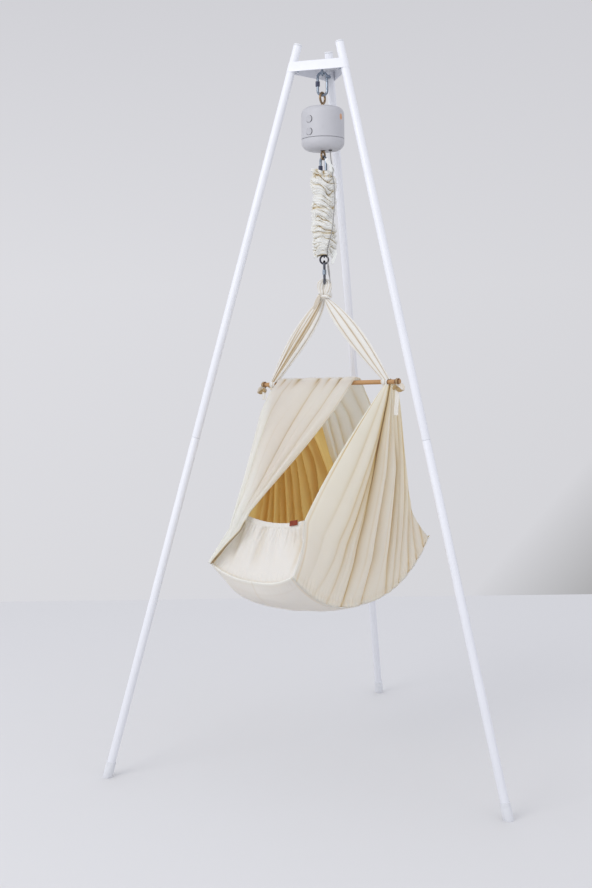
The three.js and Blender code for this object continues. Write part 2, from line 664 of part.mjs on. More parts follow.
function rackTooth(height) {
  const rootHalf = toothPitch * rack.toothShare / 2 + rack.rise * Math.tan(radians(20));
  const tipHalf = toothPitch * rack.toothShare / 2 - rack.tip * Math.tan(radians(20));
  const tip = rackPitchLine + rack.tip;
  const outline = [
    [0, -rootHalf], [rack.coreBack, -rootHalf], [tip, -tipHalf],
    [tip, tipHalf], [rack.coreBack, rootHalf], [0, rootHalf],
  ].map(([back, up]) => new THREE.Vector2(back, up));
  const tooth = new THREE.ExtrudeGeometry(new THREE.Shape(outline), { depth: rack.width, bevelEnabled: false });
  return tooth.translate(0, 0, -rack.width / 2).rotateX(upright).rotateZ(upright).translate(0, 0, height);
}

function outputRodShape() {
  const ringTop = outputEyeHeight + outputEye.radius;
  const rodTop = ringTop + rod.length;
  const firstTooth = pinionHeight - toothPitch * 2;
  const teeth = Array.from({ length: rack.teeth }, (_, i) => rackTooth(firstTooth + i * toothPitch));
  return join(
    uprightRing(outputEye.radius, outputEye.wire, outputEyeHeight, outputEye.yaw),
    puck(rod.radius, ringTop, rodTop),
    ...teeth,
  );
}

function bushingShape() {
  const bottom = housingBottom - gap;
  const flangeBottom = chassisFloor + chassis.wall + gap;
  const inner = rod.radius + gap;
  const outer = rod.radius + bushing.wall;
  const top = flangeBottom + bushing.flangeHeight;
  return turned([
    [inner, bottom], [outer, bottom], [outer, flangeBottom], [outer + bushing.flange, flangeBottom],
    [outer + bushing.flange, top], [inner, top], [inner, bottom],
  ], 16);
}

function boardShape() {
  const bottom = chassisFloor + chassis.wall + gap;
  const back = board.thickness - chassis.boardFront;
  return block(-board.halfWidth, board.halfWidth, -chassis.boardFront, back, bottom, bottom + board.height);
}

function makeMotorUnit() {
  return group(
    piece("motor_top_eye", motorEyeShape(), "yellowZinc"),
    piece("motor_upper_shell", upperShellShape(), "greyPlastic"),
    piece("motor_lower_shell", lowerShellShape(), "greyPlastic"),
    ...Object.entries(buttonHeights).map(([which, height]) =>
      piece(`button_${which}`, buttonShape(height), "buttonPlastic")),
    piece("indicator_lens", lensShape(), "amberLens"),
    piece("power_inlet", inletShape(), "blackPlastic"),
    piece("cord_grommet", grommetShape(), "blackPlastic"),
    piece("motor_chassis", chassisShape(), "zinc"),
    piece("gear_motor", gearMotorShape(), "darkSteel"),
    piece("drive_pinion", pinionShape(), "darkSteel"),
    piece("rod_bushing", bushingShape(), "blackPlastic"),
    piece("circuit_board", boardShape(), "circuitGreen"),
    piece("output_rod", outputRodShape(), "yellowZinc"),
  );
}

// The spring's wire runs out from the axis, winds down and runs back to it, with a round hook at each end.
class Coil extends THREE.Curve {
  getPoint(share) {
    const top = topHookHeight - spring.hook;
    const bottom = bottomHookHeight + spring.hook;
    const reach = Math.min(smoothstep(share, 0, 0.05), 1 - smoothstep(share, 0.95, 1));
    const angle = fullTurn * spring.turns * share;
    const radius = spring.radius * reach;
    return new THREE.Vector3(radius * Math.cos(angle), radius * Math.sin(angle), lerp(top, bottom, share));
  }
}

// Rings of wire round each point of a curve, square to it
function wireRings(curve, radius, sides, steps) {
  const frames = curve.computeFrenetFrames(steps, false);
  return shares(steps).map((s, i) => Array.from({ length: sides }, (_, k) => {
    const angle = fullTurn * k / sides;
    return curve.getPointAt(s)
      .addScaledVector(frames.normals[i], radius * Math.cos(angle))
      .addScaledVector(frames.binormals[i], radius * Math.sin(angle));
  }));
}

function springShape() {
  const coil = skin(wireRings(new Coil(), spring.wire, 5, 8 * spring.turns));
  return join(
    coil,
    uprightRing(spring.hook, spring.wire, topHookHeight, spring.topYaw),
    uprightRing(spring.hook, spring.wire, bottomHookHeight, spring.bottomYaw),
  );
}

function springRingShape() {
  return uprightRing(springRing.radius, springRing.wire, springRingHeight, springRing.yaw);
}

// A gathered cloth tube: the outside follows the listed shares with crinkles, the inside rests on the coil.
function coverShape() {
  const top = topHookHeight + cover.top;
  const bottom = bottomHookHeight - cover.bottom;
  const sides = 16;
  const outerRings = shares(24).map((s) => {
    const place = s * (coverShares.length - 1);
    const low = Math.min(Math.floor(place), coverShares.length - 2);
    const share = lerp(coverShares[low], coverShares[low + 1], smoothstep(place - low, 0, 1));
    return Array.from({ length: sides }, (_, k) => {
      const angle = fullTurn * k / sides;
      const crinkle = Math.sin(fullTurn * cover.ripples * s + 2 * Math.sin(2 * angle)) * Math.sin(Math.PI * s);
      const radius = cover.radius * share + cover.ripple * crinkle;
      return new THREE.Vector3(radius * Math.cos(angle), radius * Math.sin(angle), lerp(bottom, top, s));
    });
  });
  const coilSide = spring.radius + spring.wire + gap;
  const mouth = link.halfWidth + link.wire + cover.wall;
  const innerProfile = [
    [1, mouth], [0.86, mouth], [0.8, coilSide], [0.5, coilSide], [0.2, coilSide], [0, coilSide],
  ];
  const innerRings = innerProfile.map(([s, radius]) => Array.from({ length: sides }, (_, k) => {
    const angle = fullTurn * k / sides;
    return new THREE.Vector3(radius * Math.cos(angle), radius * Math.sin(angle), lerp(bottom, top, s))
      .divide(new THREE.Vector3(Math.cos(Math.PI / sides), Math.cos(Math.PI / sides), 1));
  }));
  return skin([...outerRings, ...innerRings], true);
}

function cordShape() {
  const points = cordRoute.map(([right, front, up]) => new THREE.Vector3(right, -front, bottomWire + up));
  return wireAlong(new THREE.CatmullRomCurve3(points), cord.radius, cord.sides, cord.steps);
}

function makeSuspension() {
  const hanging = group(
    makeLink("top", topLinkHeight, linkYaws.topYaw),
    makeMotorUnit(),
    makeLink("middle", middleLinkHeight, linkYaws.middleYaw),
    piece("tension_spring", springShape(), "darkSteel"),
    piece("spring_cover", coverShape(), "cotton"),
    piece("spring_ring", springRingShape(), "darkSteel"),
    makeLink("bottom", bottomLinkHeight, linkYaws.bottomYaw),
    piece("safety_cord", cordShape(), "greyCord"),
    piece("hanger_loop", hangerLoopShape(), "cotton"),
    piece("strap_knot", knotShape(), "cotton"),
  );
  hanging.rotation.z = radians(viewYaw);
  return hanging;
}

// The cloth that goes over the bottom link's wire, down on both sides and into the knot. It twists from the
// link's direction to the bar's.
const upWay = new THREE.Vector3(0, 0, 1);
const strapTwist = radians(cradleYaw - viewYaw);
const knotTop = bottomWire - loop.drop + knot.height / 2;
const knotBottom = knotTop - knot.height;
const loopEnd = knotBottom + knot.below;

function hangerLoopShape() {
  const over = link.wire + loop.clearance + loop.thickness / 2;
  const { neck } = loop;
  const curve = new THREE.CatmullRomCurve3([
    [-neck, loopEnd], [-neck, knotTop], [-loop.spread, (knotTop + bottomWire) / 2], [-over, bottomWire],
    [-over * 0.71, bottomWire + over * 0.71], [0, bottomWire + over], [over * 0.71, bottomWire + over * 0.71],
    [over, bottomWire], [loop.spread, (knotTop + bottomWire) / 2], [neck, knotTop], [neck, loopEnd],
  ].map(([x, z]) => new THREE.Vector3(x, 0, z)));
  const rings = shares(16).map((s) => {
    const centre = curve.getPoint(s);
    const ahead = curve.getTangent(s);
    const out = new THREE.Vector3(ahead.z, 0, -ahead.x);
    const fromWire = Math.abs(2 * s - 1);
    const upper = lerp(loop.thickness, loop.fullness, smoothstep(fromWire, 0.3, 0.6));
    const half = lerp(upper, loop.endThickness, smoothstep(fromWire, 0.6, 0.85)) / 2;
    return Array.from({ length: loop.sides }, (_, k) => {
      const angle = fullTurn * k / loop.sides;
      return centre.clone()
        .addScaledVector(out, half * Math.cos(angle))
        .add(new THREE.Vector3(0, loop.width / 2 * Math.sin(angle), 0))
        .applyAxisAngle(upWay, strapTwist * smoothstep(fromWire, 0.3, 0.7));
    });
  });
  return skin(rings);
}

const knotHalfX = loop.neck + loop.endThickness / 2 + 3 * gap;
const knotHalfY = loop.width / 2 + 2 * gap;

// The knot is a band with rounded corners round the loop's ends and the bundles' tops
function knotShape() {
  const bend = (value) => Math.sign(value) * Math.abs(value) ** 0.5;
  const ringAt = (grow, height) => Array.from({ length: knot.sides }, (_, k) => {
    const angle = fullTurn * k / knot.sides;
    return new THREE.Vector3(
      (knotHalfX + grow) * bend(Math.cos(angle)),
      (knotHalfY + grow) * bend(Math.sin(angle)),
      height,
    );
  });
  const middle = (knotTop + knotBottom) / 2;
  const rings = [ringAt(0, knotBottom), ringAt(knot.wall / 2, knotBottom), ringAt(knot.wall, middle),
    ringAt(knot.wall / 2, knotTop), ringAt(0, knotTop)];
  return skin(rings, true).rotateZ(strapTwist);
}

// The cradle

// Heights along the bar, from the middle of the hanging point, and places along it from the bar's own middle
function barHeightAt(along) {
  return along * Math.tan(radians(bar.tilt));
}

function onBar(side, place) {
  return bar.shift + side * place;
}

// A pleated bundle of cloth from inside the knot down to the bar. Its sections lie level.
function strapShape(side) {
  const top = loopEnd - gap - barHeight;
  const underKnot = knotBottom - gap - barHeight;
  const start = knotHalfX / 2;
  const topWidth = start - gap;
  const endHeight = bar.radius + gap + strap.endWidth * Math.tan(radians(bar.tilt)) + gap;
  const landing = onBar(side, strap.barPlace);
  const low = barHeightAt(landing) + endHeight;
  const corners = Array.from({ length: strap.sides }, (_, k) => k);
  const sectionAt = (along, halfWidth, halfDepth, pleat, height) => corners.map((k) => {
    const angle = fullTurn * k / strap.sides;
    const reach = 1 - pleat * (k % 2);
    return new THREE.Vector3(
      along + halfWidth * reach * Math.cos(angle),
      halfDepth * reach * Math.sin(angle),
      height,
    );
  });
  const rings = shares(8).map((s) => {
    const along = lerp(side * start, landing, s);
    const fullness = Math.sin(Math.PI * s ** 0.8);
    const halfWidth = lerp(lerp(topWidth, strap.endWidth, s), strap.midWidth, fullness);
    const halfDepth = lerp(lerp(strap.topDepth, strap.endDepth, s), strap.midDepth, fullness);
    return sectionAt(along, halfWidth, halfDepth, 0.16 * fullness, lerp(underKnot, low, s));
  });
  rings.unshift(sectionAt(side * start, topWidth, strap.topDepth, 0, top));
  return skin(rings.reverse());
}

function barShape() {
  return new THREE.CylinderGeometry(bar.radius, bar.radius, 2 * bar.halfLength, bar.sides)
    .rotateZ(upright).rotateY(-radians(bar.tilt)).translate(bar.shift, 0, barHeightAt(bar.shift));
}

function bowShape(side) {
  const inner = bar.radius / Math.cos(Math.PI / bar.sides) + gap;
  const ring = pipe(inner, inner + bow.wall, -bow.width / 2, bow.width / 2, 14).rotateY(upright);
  const ribbon = new THREE.TorusGeometry(bow.loopRadius, bow.loopWire, 5, 12);
  const reach = inner + bow.wall / 2 + bow.loopRadius;
  const loopOut = ribbon.rotateX(upright).rotateZ(radians(bow.yaw)).translate(side * bow.loopRadius, 0, -reach);
  const tailTop = -inner - bow.wall / 2;
  const tail = block(-bow.tailWidth / 2, bow.tailWidth / 2, -bow.loopWire / 2, bow.loopWire / 2,
    tailTop - bow.tailLength, tailTop);
  const made = join(ring, loopOut, tail);
  const place = onBar(side, bow.place);
  return made.rotateY(-radians(bar.tilt)).translate(place, 0, barHeightAt(place));
}

function cornerName(side, end) {
  return (end < 0 ? "foot" : "head") + (side < 0 ? "Left" : "Right");
}

function cornerAt(table, sizes, side, end) {
  const [x, y, z] = table[cornerName(side, end)];
  return new THREE.Vector3(x * sizes[0], y * sizes[1], -z * sizes[2]);
}

function lowCorner(side, end) {
  return cornerAt(lowCornerShares, [base.halfWidth, base.halfLength, base.lowDrop], side, end);
}

function rimCorner(side, end) {
  return cornerAt(rimCornerShares, [rim.halfWidth, rim.halfLength, rim.drop], side, end);
}

// The seam where a side panel meets the belly: it hangs between its two end corners
function seamAt(side, along) {
  const point = lowCorner(side, -1).lerp(lowCorner(side, 1), (along + 1) / 2);
  point.z -= (base.seamDrop + point.z) * (1 - along * along);
  return point;
}

// The belly's middle surface, with across and along from -1 to 1
function bellyAt(across, along) {
  const point = seamAt(-1, along).lerp(seamAt(1, along), (across + 1) / 2);
  point.z -= lerp(base.middleDepth, base.endDepth, along * along) * (1 - across * across);
  return point;
}

function bellyUp(across, along) {
  const step = 0.01;
  const alongWay = bellyAt(across, along + step).sub(bellyAt(across, along - step));
  const acrossWay = bellyAt(across + step, along).sub(bellyAt(across - step, along));
  return acrossWay.cross(alongWay).normalize();
}

// A point above the belly's upper face
function onBelly(across, along, lift) {
  return bellyAt(across, along).addScaledVector(bellyUp(across, along), cloth.bellyThickness / 2 + gap + lift);
}

const panelSeatShare = 0.985;

// A side panel's border at one end: from the bar to the rim's corner and down to the low corner
function borderAt(side, end, share) {
  const place = onBar(side, end < 0 ? fan.topInner : fan.topOuter);
  const underBar = bar.radius + cloth.thickness * Math.tan(radians(bar.tilt)) + gap;
  const top = new THREE.Vector3(place, end * fan.topHalfDepth, barHeightAt(place) - underBar);
  const low = onBelly(side * panelSeatShare, end * panelSeatShare, cloth.seat);
  const corner = rimCorner(side, end);
  const rimShare = (corner.z - top.z) / (low.z - top.z);
  const pull = corner.sub(top.clone().lerp(low, rimShare));
  const above = Math.min(share / rimShare, 1);
  const below = Math.max((share - rimShare) / (1 - rimShare), 0);
  const point = top.lerp(low, share);
  point.addScaledVector(pull, share < rimShare ? Math.sin(upright * above) : Math.cos(upright * below));
  const [inward, outward, lowInward] = borderBowShares[cornerName(side, end)];
  const bow = Math.sin(Math.PI * above ** 0.8);
  point.x -= side * rim.halfWidth * inward * bow;
  point.y += end * rim.halfLength * (outward * bow - lowInward * Math.sin(Math.PI * below));
  return point;
}

// A side panel's surface: down from the bar by share, and from its foot border to its head border by place
function sidePanelAt(side, share, place) {
  const foot = borderAt(side, -1, share);
  const head = borderAt(side, 1, share);
  const low = onBelly(side * panelSeatShare, lerp(-panelSeatShare, panelSeatShare, place), cloth.seat);
  const top = borderAt(side, -1, 0).lerp(borderAt(side, 1, 0), place);
  const straight = top.lerp(low, share);
  const footPull = foot.sub(borderAt(side, -1, 0).lerp(borderAt(side, -1, 1), share));
  const headPull = head.sub(borderAt(side, 1, 0).lerp(borderAt(side, 1, 1), share));
  straight.addScaledVector(footPull, (1 - place) ** 3).addScaledVector(headPull, place ** 3);
  const reach = Math.min(1, (share / 0.55) ** 2) * (1 - smoothstep(share, 0.82, 1));
  const width = smoothstep(place, 0.12, 0.4) * (1 - smoothstep(place, 0.92, 1));
  const wave = Math.cos(fullTurn * fan.folds * place ** 0.8);
  straight.x += side * fan.foldDepth * reach * width * wave;
  return straight;
}

function sidePanelShape(side) {
  const pointAt = (share, place) => sidePanelAt(side, share, side > 0 ? place : 1 - place);
  return sheet(pointAt, shares(8), shares(37), cloth.thickness);
}

function bellyShape() {
  return sheet(bellyAt, shares(8, -1, 1), shares(14, -1, 1), cloth.bellyThickness);
}

// A low panel across one end of the base, between the side panels
function endPanelAt(end, share, across) {
  const insideOf = (side, t) => {
    const edge = borderAt(side, end, t);
    edge.x -= side * (cloth.thickness + 3 * gap);
    return edge;
  };
  const rimShare = (side) => {
    const top = borderAt(side, end, 0);
    const low = borderAt(side, end, 1);
    return (rimCorner(side, end).z - top.z) / (low.z - top.z);
  };
  const left = insideOf(-1, lerp(1, rimShare(-1), share));
  const right = insideOf(1, lerp(1, rimShare(1), share));
  const mix = (across + 1) / 2;
  const point = left.lerp(right, mix);
  const foot = onBelly(across * panelSeatShare, end * panelSeatShare, cloth.seat);
  const cornerMix = onBelly(-panelSeatShare, end * panelSeatShare, cloth.seat)
    .lerp(onBelly(panelSeatShare, end * panelSeatShare, cloth.seat), mix);
  point.add(foot.sub(cornerMix).multiplyScalar(1 - share));
  point.z -= rim.dipDepth * share * (1 - across * across);
  return point;
}

function endPanelShape(end) {
  const columns = shares(12, -1, 1);
  return sheet((share, across) => endPanelAt(end, share, -end * across), shares(4), columns, cloth.thickness);
}

// The mattress lies on the belly: a crowned pad whose edges draw in
function mattressShape() {
  const rows = shares(12, -1, 1);
  const columns = shares(10, -1, 1);
  const { widthShare, lengthShare } = mattress;
  const rings = rows.map((along) => {
    const under = columns.map((across) => onBelly(across * widthShare, along * lengthShare, mattress.seat));
    const over = columns.map((across) => {
      const crown = Math.sqrt((1 - across ** 6) * (1 - along ** 6));
      const lift = lerp(mattress.edge, mattress.thickness, crown);
      return onBelly(across * widthShare, along * lengthShare, lift);
    });
    return [...under, ...over.reverse()];
  });
  return stripEnds(rings);
}

function along(table, share, sizes) {
  const last = drapeLengthShares.length - 2;
  const found = drapeLengthShares.findIndex((s) => s > share) - 1;
  const low = found < 0 ? last : found;
  const mix = (share - drapeLengthShares[low]) / (drapeLengthShares[low + 1] - drapeLengthShares[low]);
  const [x, y, z] = table[low].map((value, k) => lerp(value, table[low + 1][k], mix) * sizes[k]);
  return new THREE.Vector3(x, y, -z);
}

// The drape: from the head's rim over the bar to the foot's left corner, in folds that only stand outwards
function drapeAt(share, across) {
  const sizes = [rim.halfWidth, rim.halfLength, rim.drop];
  const barShare = drapeLengthShares[4];
  const point = along(drapeLeftShares, share, sizes).lerp(along(drapeRightShares, share, sizes), across);
  // It bends over the bar along an arc that clears the bar's corners
  const bend = radians(55);
  const overBar = (bar.radius + 2 * gap + cloth.thickness / 2) / Math.cos(bend / 2);
  const turn = bend * THREE.MathUtils.clamp((share - barShare) / (drapeLengthShares[5] - barShare), -1, 1);
  const foldReach = Math.sin(Math.PI * THREE.MathUtils.clamp((share - 0.46) / 0.5, 0, 1)) ** 0.7;
  const fold = drape.foldDepth * foldReach * (1 - Math.cos(fullTurn * drape.folds * across)) / 2;
  const seat = share < barShare ? smoothstep(share, 0, drapeLengthShares[3]) : 1;
  const out = overBar * seat + fold;
  point.y -= out * Math.sin(turn);
  const nearBar = 1 - Math.min(1, Math.abs(point.y) / rim.halfLength);
  point.z += out * Math.cos(turn) + barHeightAt(point.x) * nearBar;
  return point;
}

function drapeShape() {
  return sheet((share, across) => drapeAt(share, across), drapeLengthShares, shares(18), cloth.thickness);
}

// A blank leather label on the foot panel, just under its rim
function tagShape() {
  const depth = base.lowDrop - rim.drop;
  const across = tag.place / rim.halfWidth;
  const share = 1 - (tag.height / 2 + gap) / depth;
  const here = endPanelAt(-1, share, across);
  const right = endPanelAt(-1, share, across + gap / rim.halfWidth).sub(here).normalize();
  const up = endPanelAt(-1, share + gap / depth, across).sub(here).normalize();
  const out = right.clone().cross(up).normalize();
  up.copy(out).cross(right);
  const label = new THREE.BoxGeometry(tag.width, tag.height, tag.thickness);
  label.applyMatrix4(new THREE.Matrix4().makeBasis(right, up, out));
  here.addScaledVector(out, cloth.thickness / 2 + tag.thickness / 2 + 2 * gap);
  return label.translate(here.x, here.y, here.z);
}

function makeCradle() {
  const sides = { left: -1, right: 1 };
  const cradle = group(
    piece("spreader_bar", barShape(), "wood"),
    ...Object.entries(sides).flatMap(([name, side]) => [
      piece(`strap_bundle_${name}`, strapShape(side), "cotton"),
      piece(`bow_tie_${name}`, bowShape(side), "cotton"),
      piece(`side_panel_${name}`, sidePanelShape(side), "cotton"),
    ]),
    piece("cradle_belly", bellyShape(), "cotton"),
    piece("foot_panel", endPanelShape(-1), "cotton"),
    piece("head_panel", endPanelShape(1), "cotton"),
    piece("mattress", mattressShape(), "cotton"),
    piece("drape", drapeShape(), "cotton"),
    piece("leather_tag", tagShape(), "leather"),
  );
  cradle.rotation.z = radians(cradleYaw);
  cradle.position.z = barHeight;
  return cradle;
}

// The stand's axis isn't the middle of the box that holds the whole, so the whole is moved to centre it.
const object = group(makeStand(), makeSuspension(), makeCradle());
object.updateMatrixWorld(true);
const whole = new THREE.Box3().setFromObject(object, true);
object.position.y = -(whole.min.y + whole.max.y) / 2;

export default object;
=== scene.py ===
"""A baby cradle of unbleached cotton, hung under a motor unit and a spring in a three legged steel stand.

Every new piece is a grid of points worked out with numpy, in metres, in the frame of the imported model.
"""

import bmesh
import bpy
import numpy as np
from mathutils import Matrix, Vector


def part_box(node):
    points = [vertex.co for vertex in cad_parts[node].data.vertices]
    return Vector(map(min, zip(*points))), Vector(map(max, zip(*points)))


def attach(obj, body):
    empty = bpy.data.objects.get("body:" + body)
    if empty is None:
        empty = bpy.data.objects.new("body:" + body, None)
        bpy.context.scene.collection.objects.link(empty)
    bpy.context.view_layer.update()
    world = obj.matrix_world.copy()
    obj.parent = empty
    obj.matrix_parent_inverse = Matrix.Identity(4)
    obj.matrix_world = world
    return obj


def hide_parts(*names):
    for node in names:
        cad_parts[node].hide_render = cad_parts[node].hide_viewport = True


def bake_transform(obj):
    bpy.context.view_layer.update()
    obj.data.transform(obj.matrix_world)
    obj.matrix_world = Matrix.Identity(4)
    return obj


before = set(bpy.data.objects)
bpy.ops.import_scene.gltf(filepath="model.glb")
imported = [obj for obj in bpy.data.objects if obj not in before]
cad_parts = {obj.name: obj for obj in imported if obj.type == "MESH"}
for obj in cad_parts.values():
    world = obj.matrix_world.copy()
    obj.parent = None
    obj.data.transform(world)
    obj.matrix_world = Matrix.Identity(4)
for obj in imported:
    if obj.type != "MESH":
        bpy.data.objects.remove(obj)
bpy.context.view_layer.update()

# The axis that everything hangs on, and the two turns about it
nut_low, nut_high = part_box("hanger_nut")
AXIS = np.array([(nut_low.x + nut_high.x) / 2, (nut_low.y + nut_high.y) / 2, 0.0])
HANG_YAW = np.radians(15.65)
CRADLE_YAW = np.radians(-19.34)

# Heights of the hanging pieces above the floor
TOP_LINK, MOTOR_EYE, HOUSING_TOP, HOUSING_SEAM, HOUSING_LOW = 1.8407, 1.804, 1.779, 1.695, 1.666
OUTPUT_EYE, MIDDLE_LINK, TOP_HOOK, LOW_HOOK = 1.6535, 1.6208, 1.5881, 1.3921
SPRING_RING, LOW_LINK, LOW_WIRE, BAR_HEIGHT = 1.3769, 1.3427, 1.3132, 1.0435

# The clearance between pieces, how near two points merge, and the length under which an edge is dropped
GAP, MERGE, NO_EDGE = 0.0003, 2e-6, 1e-7
TURN = 2 * np.pi


# Small tools for arrays of points


def ease(value, low, high):
    """A smooth step: t squared times 3 minus 2 t, where t is the value's share of the way from low to
    high."""
    t = np.clip((value - low) / (high - low), 0, 1)
    return t * t * (3 - 2 * t)


def mix(a, b, share):
    """a plus share times b minus a."""
    return a + (b - a) * share


def unit(vectors):
    """Each vector over its length."""
    return vectors / np.maximum(np.linalg.norm(vectors, axis=-1, keepdims=True), 1e-12)


def bell(value, middle, wide):
    """The bell curve exp(-((value - middle) / wide)^2)."""
    return np.exp(-(((value - middle) / wide) ** 2))


def turn_z(points, angle):
    """Each point turned about the Z axis."""
    cos, sin = np.cos(angle), np.sin(angle)
    x, y, z = points[..., 0], points[..., 1], points[..., 2]
    return np.stack([x * cos - y * sin, x * sin + y * cos, z], -1)


def hung(points, yaw=0.0):
    """Points of the motor unit's or the spring's own frame, turned to its place under the stand."""
    return turn_z(points, HANG_YAW + yaw) + AXIS


def cradled(points):
    """Points of the cradle's own frame: X along the bar, Y to the head, Z up from the bar."""
    return turn_z(points, CRADLE_YAW) + AXIS + [0, 0, BAR_HEIGHT]


def stacked(x, y, z):
    """Three arrays of coordinates as one array of points."""
    return np.stack(np.broadcast_arrays(x, y, z), -1)


def softened(profile, reach, steps=4):
    """Each inner corner of a profile becomes the curve (1-t)^2 a + 2 t (1-t) corner + t^2 b, where a
    and b lie reach before and after the corner, or 0.45 of the way to the next one."""
    profile = np.asarray(profile, float)
    corner = profile[1:-1]
    before, after = profile[:-2] - corner, profile[2:] - corner

    def cut(way):
        length = np.maximum(np.linalg.norm(way, axis=1, keepdims=True), 1e-9)
        return corner + way * np.minimum(reach / length, 0.45)

    t = np.linspace(0, 1, steps)[None, :, None]
    a, b = cut(before)[:, None], cut(after)[:, None]
    arcs = (1 - t) ** 2 * a + 2 * t * (1 - t) * corner[:, None] + t**2 * b
    return np.concatenate([profile[:1], arcs.reshape(-1, 2), profile[-1:]])


def around(radius, angle, height):
    """Points about Z: (r cos a, r sin a, h)."""
    return stacked(radius * np.cos(angle), radius * np.sin(angle), height)


def lathe(profile, segments=64):
    """A profile of radius and height turned about Z."""
    profile = np.asarray(profile, float)
    return around(profile[:, :1], np.linspace(0, TURN, segments + 1)[None], profile[:, 1:])


def along_path(path, section, reference):
    """A section of (right, up) points carried along a path: p + side * right + rise * up, where side is the
    reference cross the path's direction, and rise the direction cross side."""
    ahead = unit(np.gradient(path, axis=0))
    side = unit(np.cross(np.broadcast_to(reference, path.shape), ahead))
    rise = np.cross(ahead, side)
    section = np.broadcast_to(section, (len(path), *np.asarray(section).shape[-2:]))
    return (
        path[:, None]
        + side[:, None] * section[..., :1]
        + rise[:, None] * section[..., 1:]
    )


def round_section(radius, sides=12):
    """A circle of points, closed on itself."""
    angle = np.linspace(0, TURN, sides + 1)
    return np.stack([radius * np.cos(angle), radius * np.sin(angle)], -1)


def capped(grid):
    """A grid with one point, the middle of the end row, added at each end."""
    first = np.broadcast_to(grid[:1, :-1].mean(1, keepdims=True), grid[:1].shape)
    last = np.broadcast_to(grid[-1:, :-1].mean(1, keepdims=True), grid[-1:].shape)
    return np.concatenate([first, grid, last])


def smooth_path(points, per_span=8):
    """A curve through the points: the cubic whose direction at each is half of the step between its
    neighbours."""
    points = np.asarray(points, float)
    slope = np.gradient(points, axis=0)
    t = np.linspace(0, 1, per_span, endpoint=False)[None, :, None]
    a, b, da, db = (v[:, None] for v in (points[:-1], points[1:], slope[:-1], slope[1:]))
    curve = (
        (2 * t**3 - 3 * t**2 + 1) * a
        + (t**3 - 2 * t**2 + t) * da
        + (3 * t**2 - 2 * t**3) * b
        + (t**3 - t**2) * db
    )
    return np.concatenate([curve.reshape(-1, points.shape[1]), points[-1:]])


def waves(value, pairs):
    """The sum of size * sin(2 pi * count * value + start) over (size, count, start)."""
    size, count, start = (np.array(column) for column in zip(*pairs))
    return (size * np.sin(TURN * count * value[..., None] + start)).sum(-1)


# Meshes


def flat_lengths(grid):
    """A grid's flat coordinates: the mean distance gone along its rows and its columns, in metres."""
    down = np.linalg.norm(np.diff(grid, axis=0), axis=-1).mean(1)
    across = np.linalg.norm(np.diff(grid, axis=1), axis=-1).mean(0)
    u = np.concatenate([[0], np.cumsum(across)])
    v = np.concatenate([[0], np.cumsum(down)])
    return np.stack(np.meshgrid(u, v), -1)


def piece(name, grids, finish, body, stands_for=(), closed=True, sharp=35, painted_shade=None):
    """One object from grids of points. Shared points are merged, and a closed skin's faces are turned
    outwards. The mask, one value for each point, is painted shade: how far a point lies into the shade of a
    fold, crease, groove or gap."""
    grids = [grids] if isinstance(grids, np.ndarray) else list(grids)
    points, faces, flats, start = [], [], [], 0
    for grid in grids:
        rows, columns = grid.shape[:2]
        index = start + np.arange(rows * columns).reshape(rows, columns)
        quads = np.stack([index[:-1, :-1], index[:-1, 1:], index[1:, 1:], index[1:, :-1]], -1)
        points.append(grid.reshape(-1, 3))
        faces.append(quads.reshape(-1, 4))
        flats.append(flat_lengths(grid).reshape(-1, 2))
        start += rows * columns
    points, faces, flats = (np.concatenate(x) for x in (points, faces, flats))
    mesh = bpy.data.meshes.new(name)
    mesh.from_pydata(points.tolist(), [], faces.tolist())
    layer = mesh.uv_layers.new(name="flat")
    layer.data.foreach_set("uv", flats[faces.ravel()].astype(np.float32).ravel())
    mask = np.zeros(len(points)) if painted_shade is None else np.clip(painted_shade, 0, 1).ravel()
    inner = mesh.attributes.new("painted_shade", "FLOAT", "POINT")
    inner.data.foreach_set("value", mask.astype(np.float32))
    made = bmesh.new()
    made.from_mesh(mesh)
    bmesh.ops.remove_doubles(made, verts=made.verts, dist=MERGE)
    bmesh.ops.dissolve_degenerate(made, edges=made.edges, dist=NO_EDGE)
    if closed:
        bmesh.ops.recalc_face_normals(made, faces=made.faces)
    made.to_mesh(mesh)
    made.free()
    mesh.polygons.foreach_set("use_smooth", np.ones(len(mesh.polygons), bool))
    mesh.set_sharp_from_angle(angle=np.radians(sharp))
    for one in finish if isinstance(finish, (list, tuple)) else [finish]:
        mesh.materials.append(one)
    item = linked(name, mesh)
    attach(item, body)
    if stands_for:
        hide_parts(*stands_for)
    return item


def linked(name, data):
    """A new object in the scene."""
    item = bpy.data.objects.new(name, data)
    bpy.context.scene.collection.objects.link(item)
    return item


def stretch(item):
    """Takes the piece off its body and bakes its place into its points."""
    item.parent = None
    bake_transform(item)


def stand_at(item, right, up, ahead, place):
    """Puts a camera or a lamp at its place, looking ahead."""
    axes = np.column_stack([right, up, -ahead, place])
    item.matrix_world = Matrix([[*map(float, row)] for row in axes] + [[0, 0, 0, 1]])


def woven(item, thickness):
    """Gives a cloth grid its thickness about its middle surface. The far side takes the second finish."""
    wall = item.modifiers.new("wall", "SOLIDIFY")
    wall.thickness = thickness
    wall.offset = 0
    wall.material_offset = len(item.data.materials) - 1
    wall.material_offset_rim = 0


# The camera stands where the photograph was taken

HEADING = unit(np.array([-0.295, 0.9555, 0.0]))
HEADING_SIDE = np.cross(HEADING, [0, 0, 1.0])
PITCH, ROLL = -0.0869, -0.0130
LENS_MM, SENSOR_MM = 46.84, 36
VIEWPOINT = [0.8506, -3.0355, 1.1531]


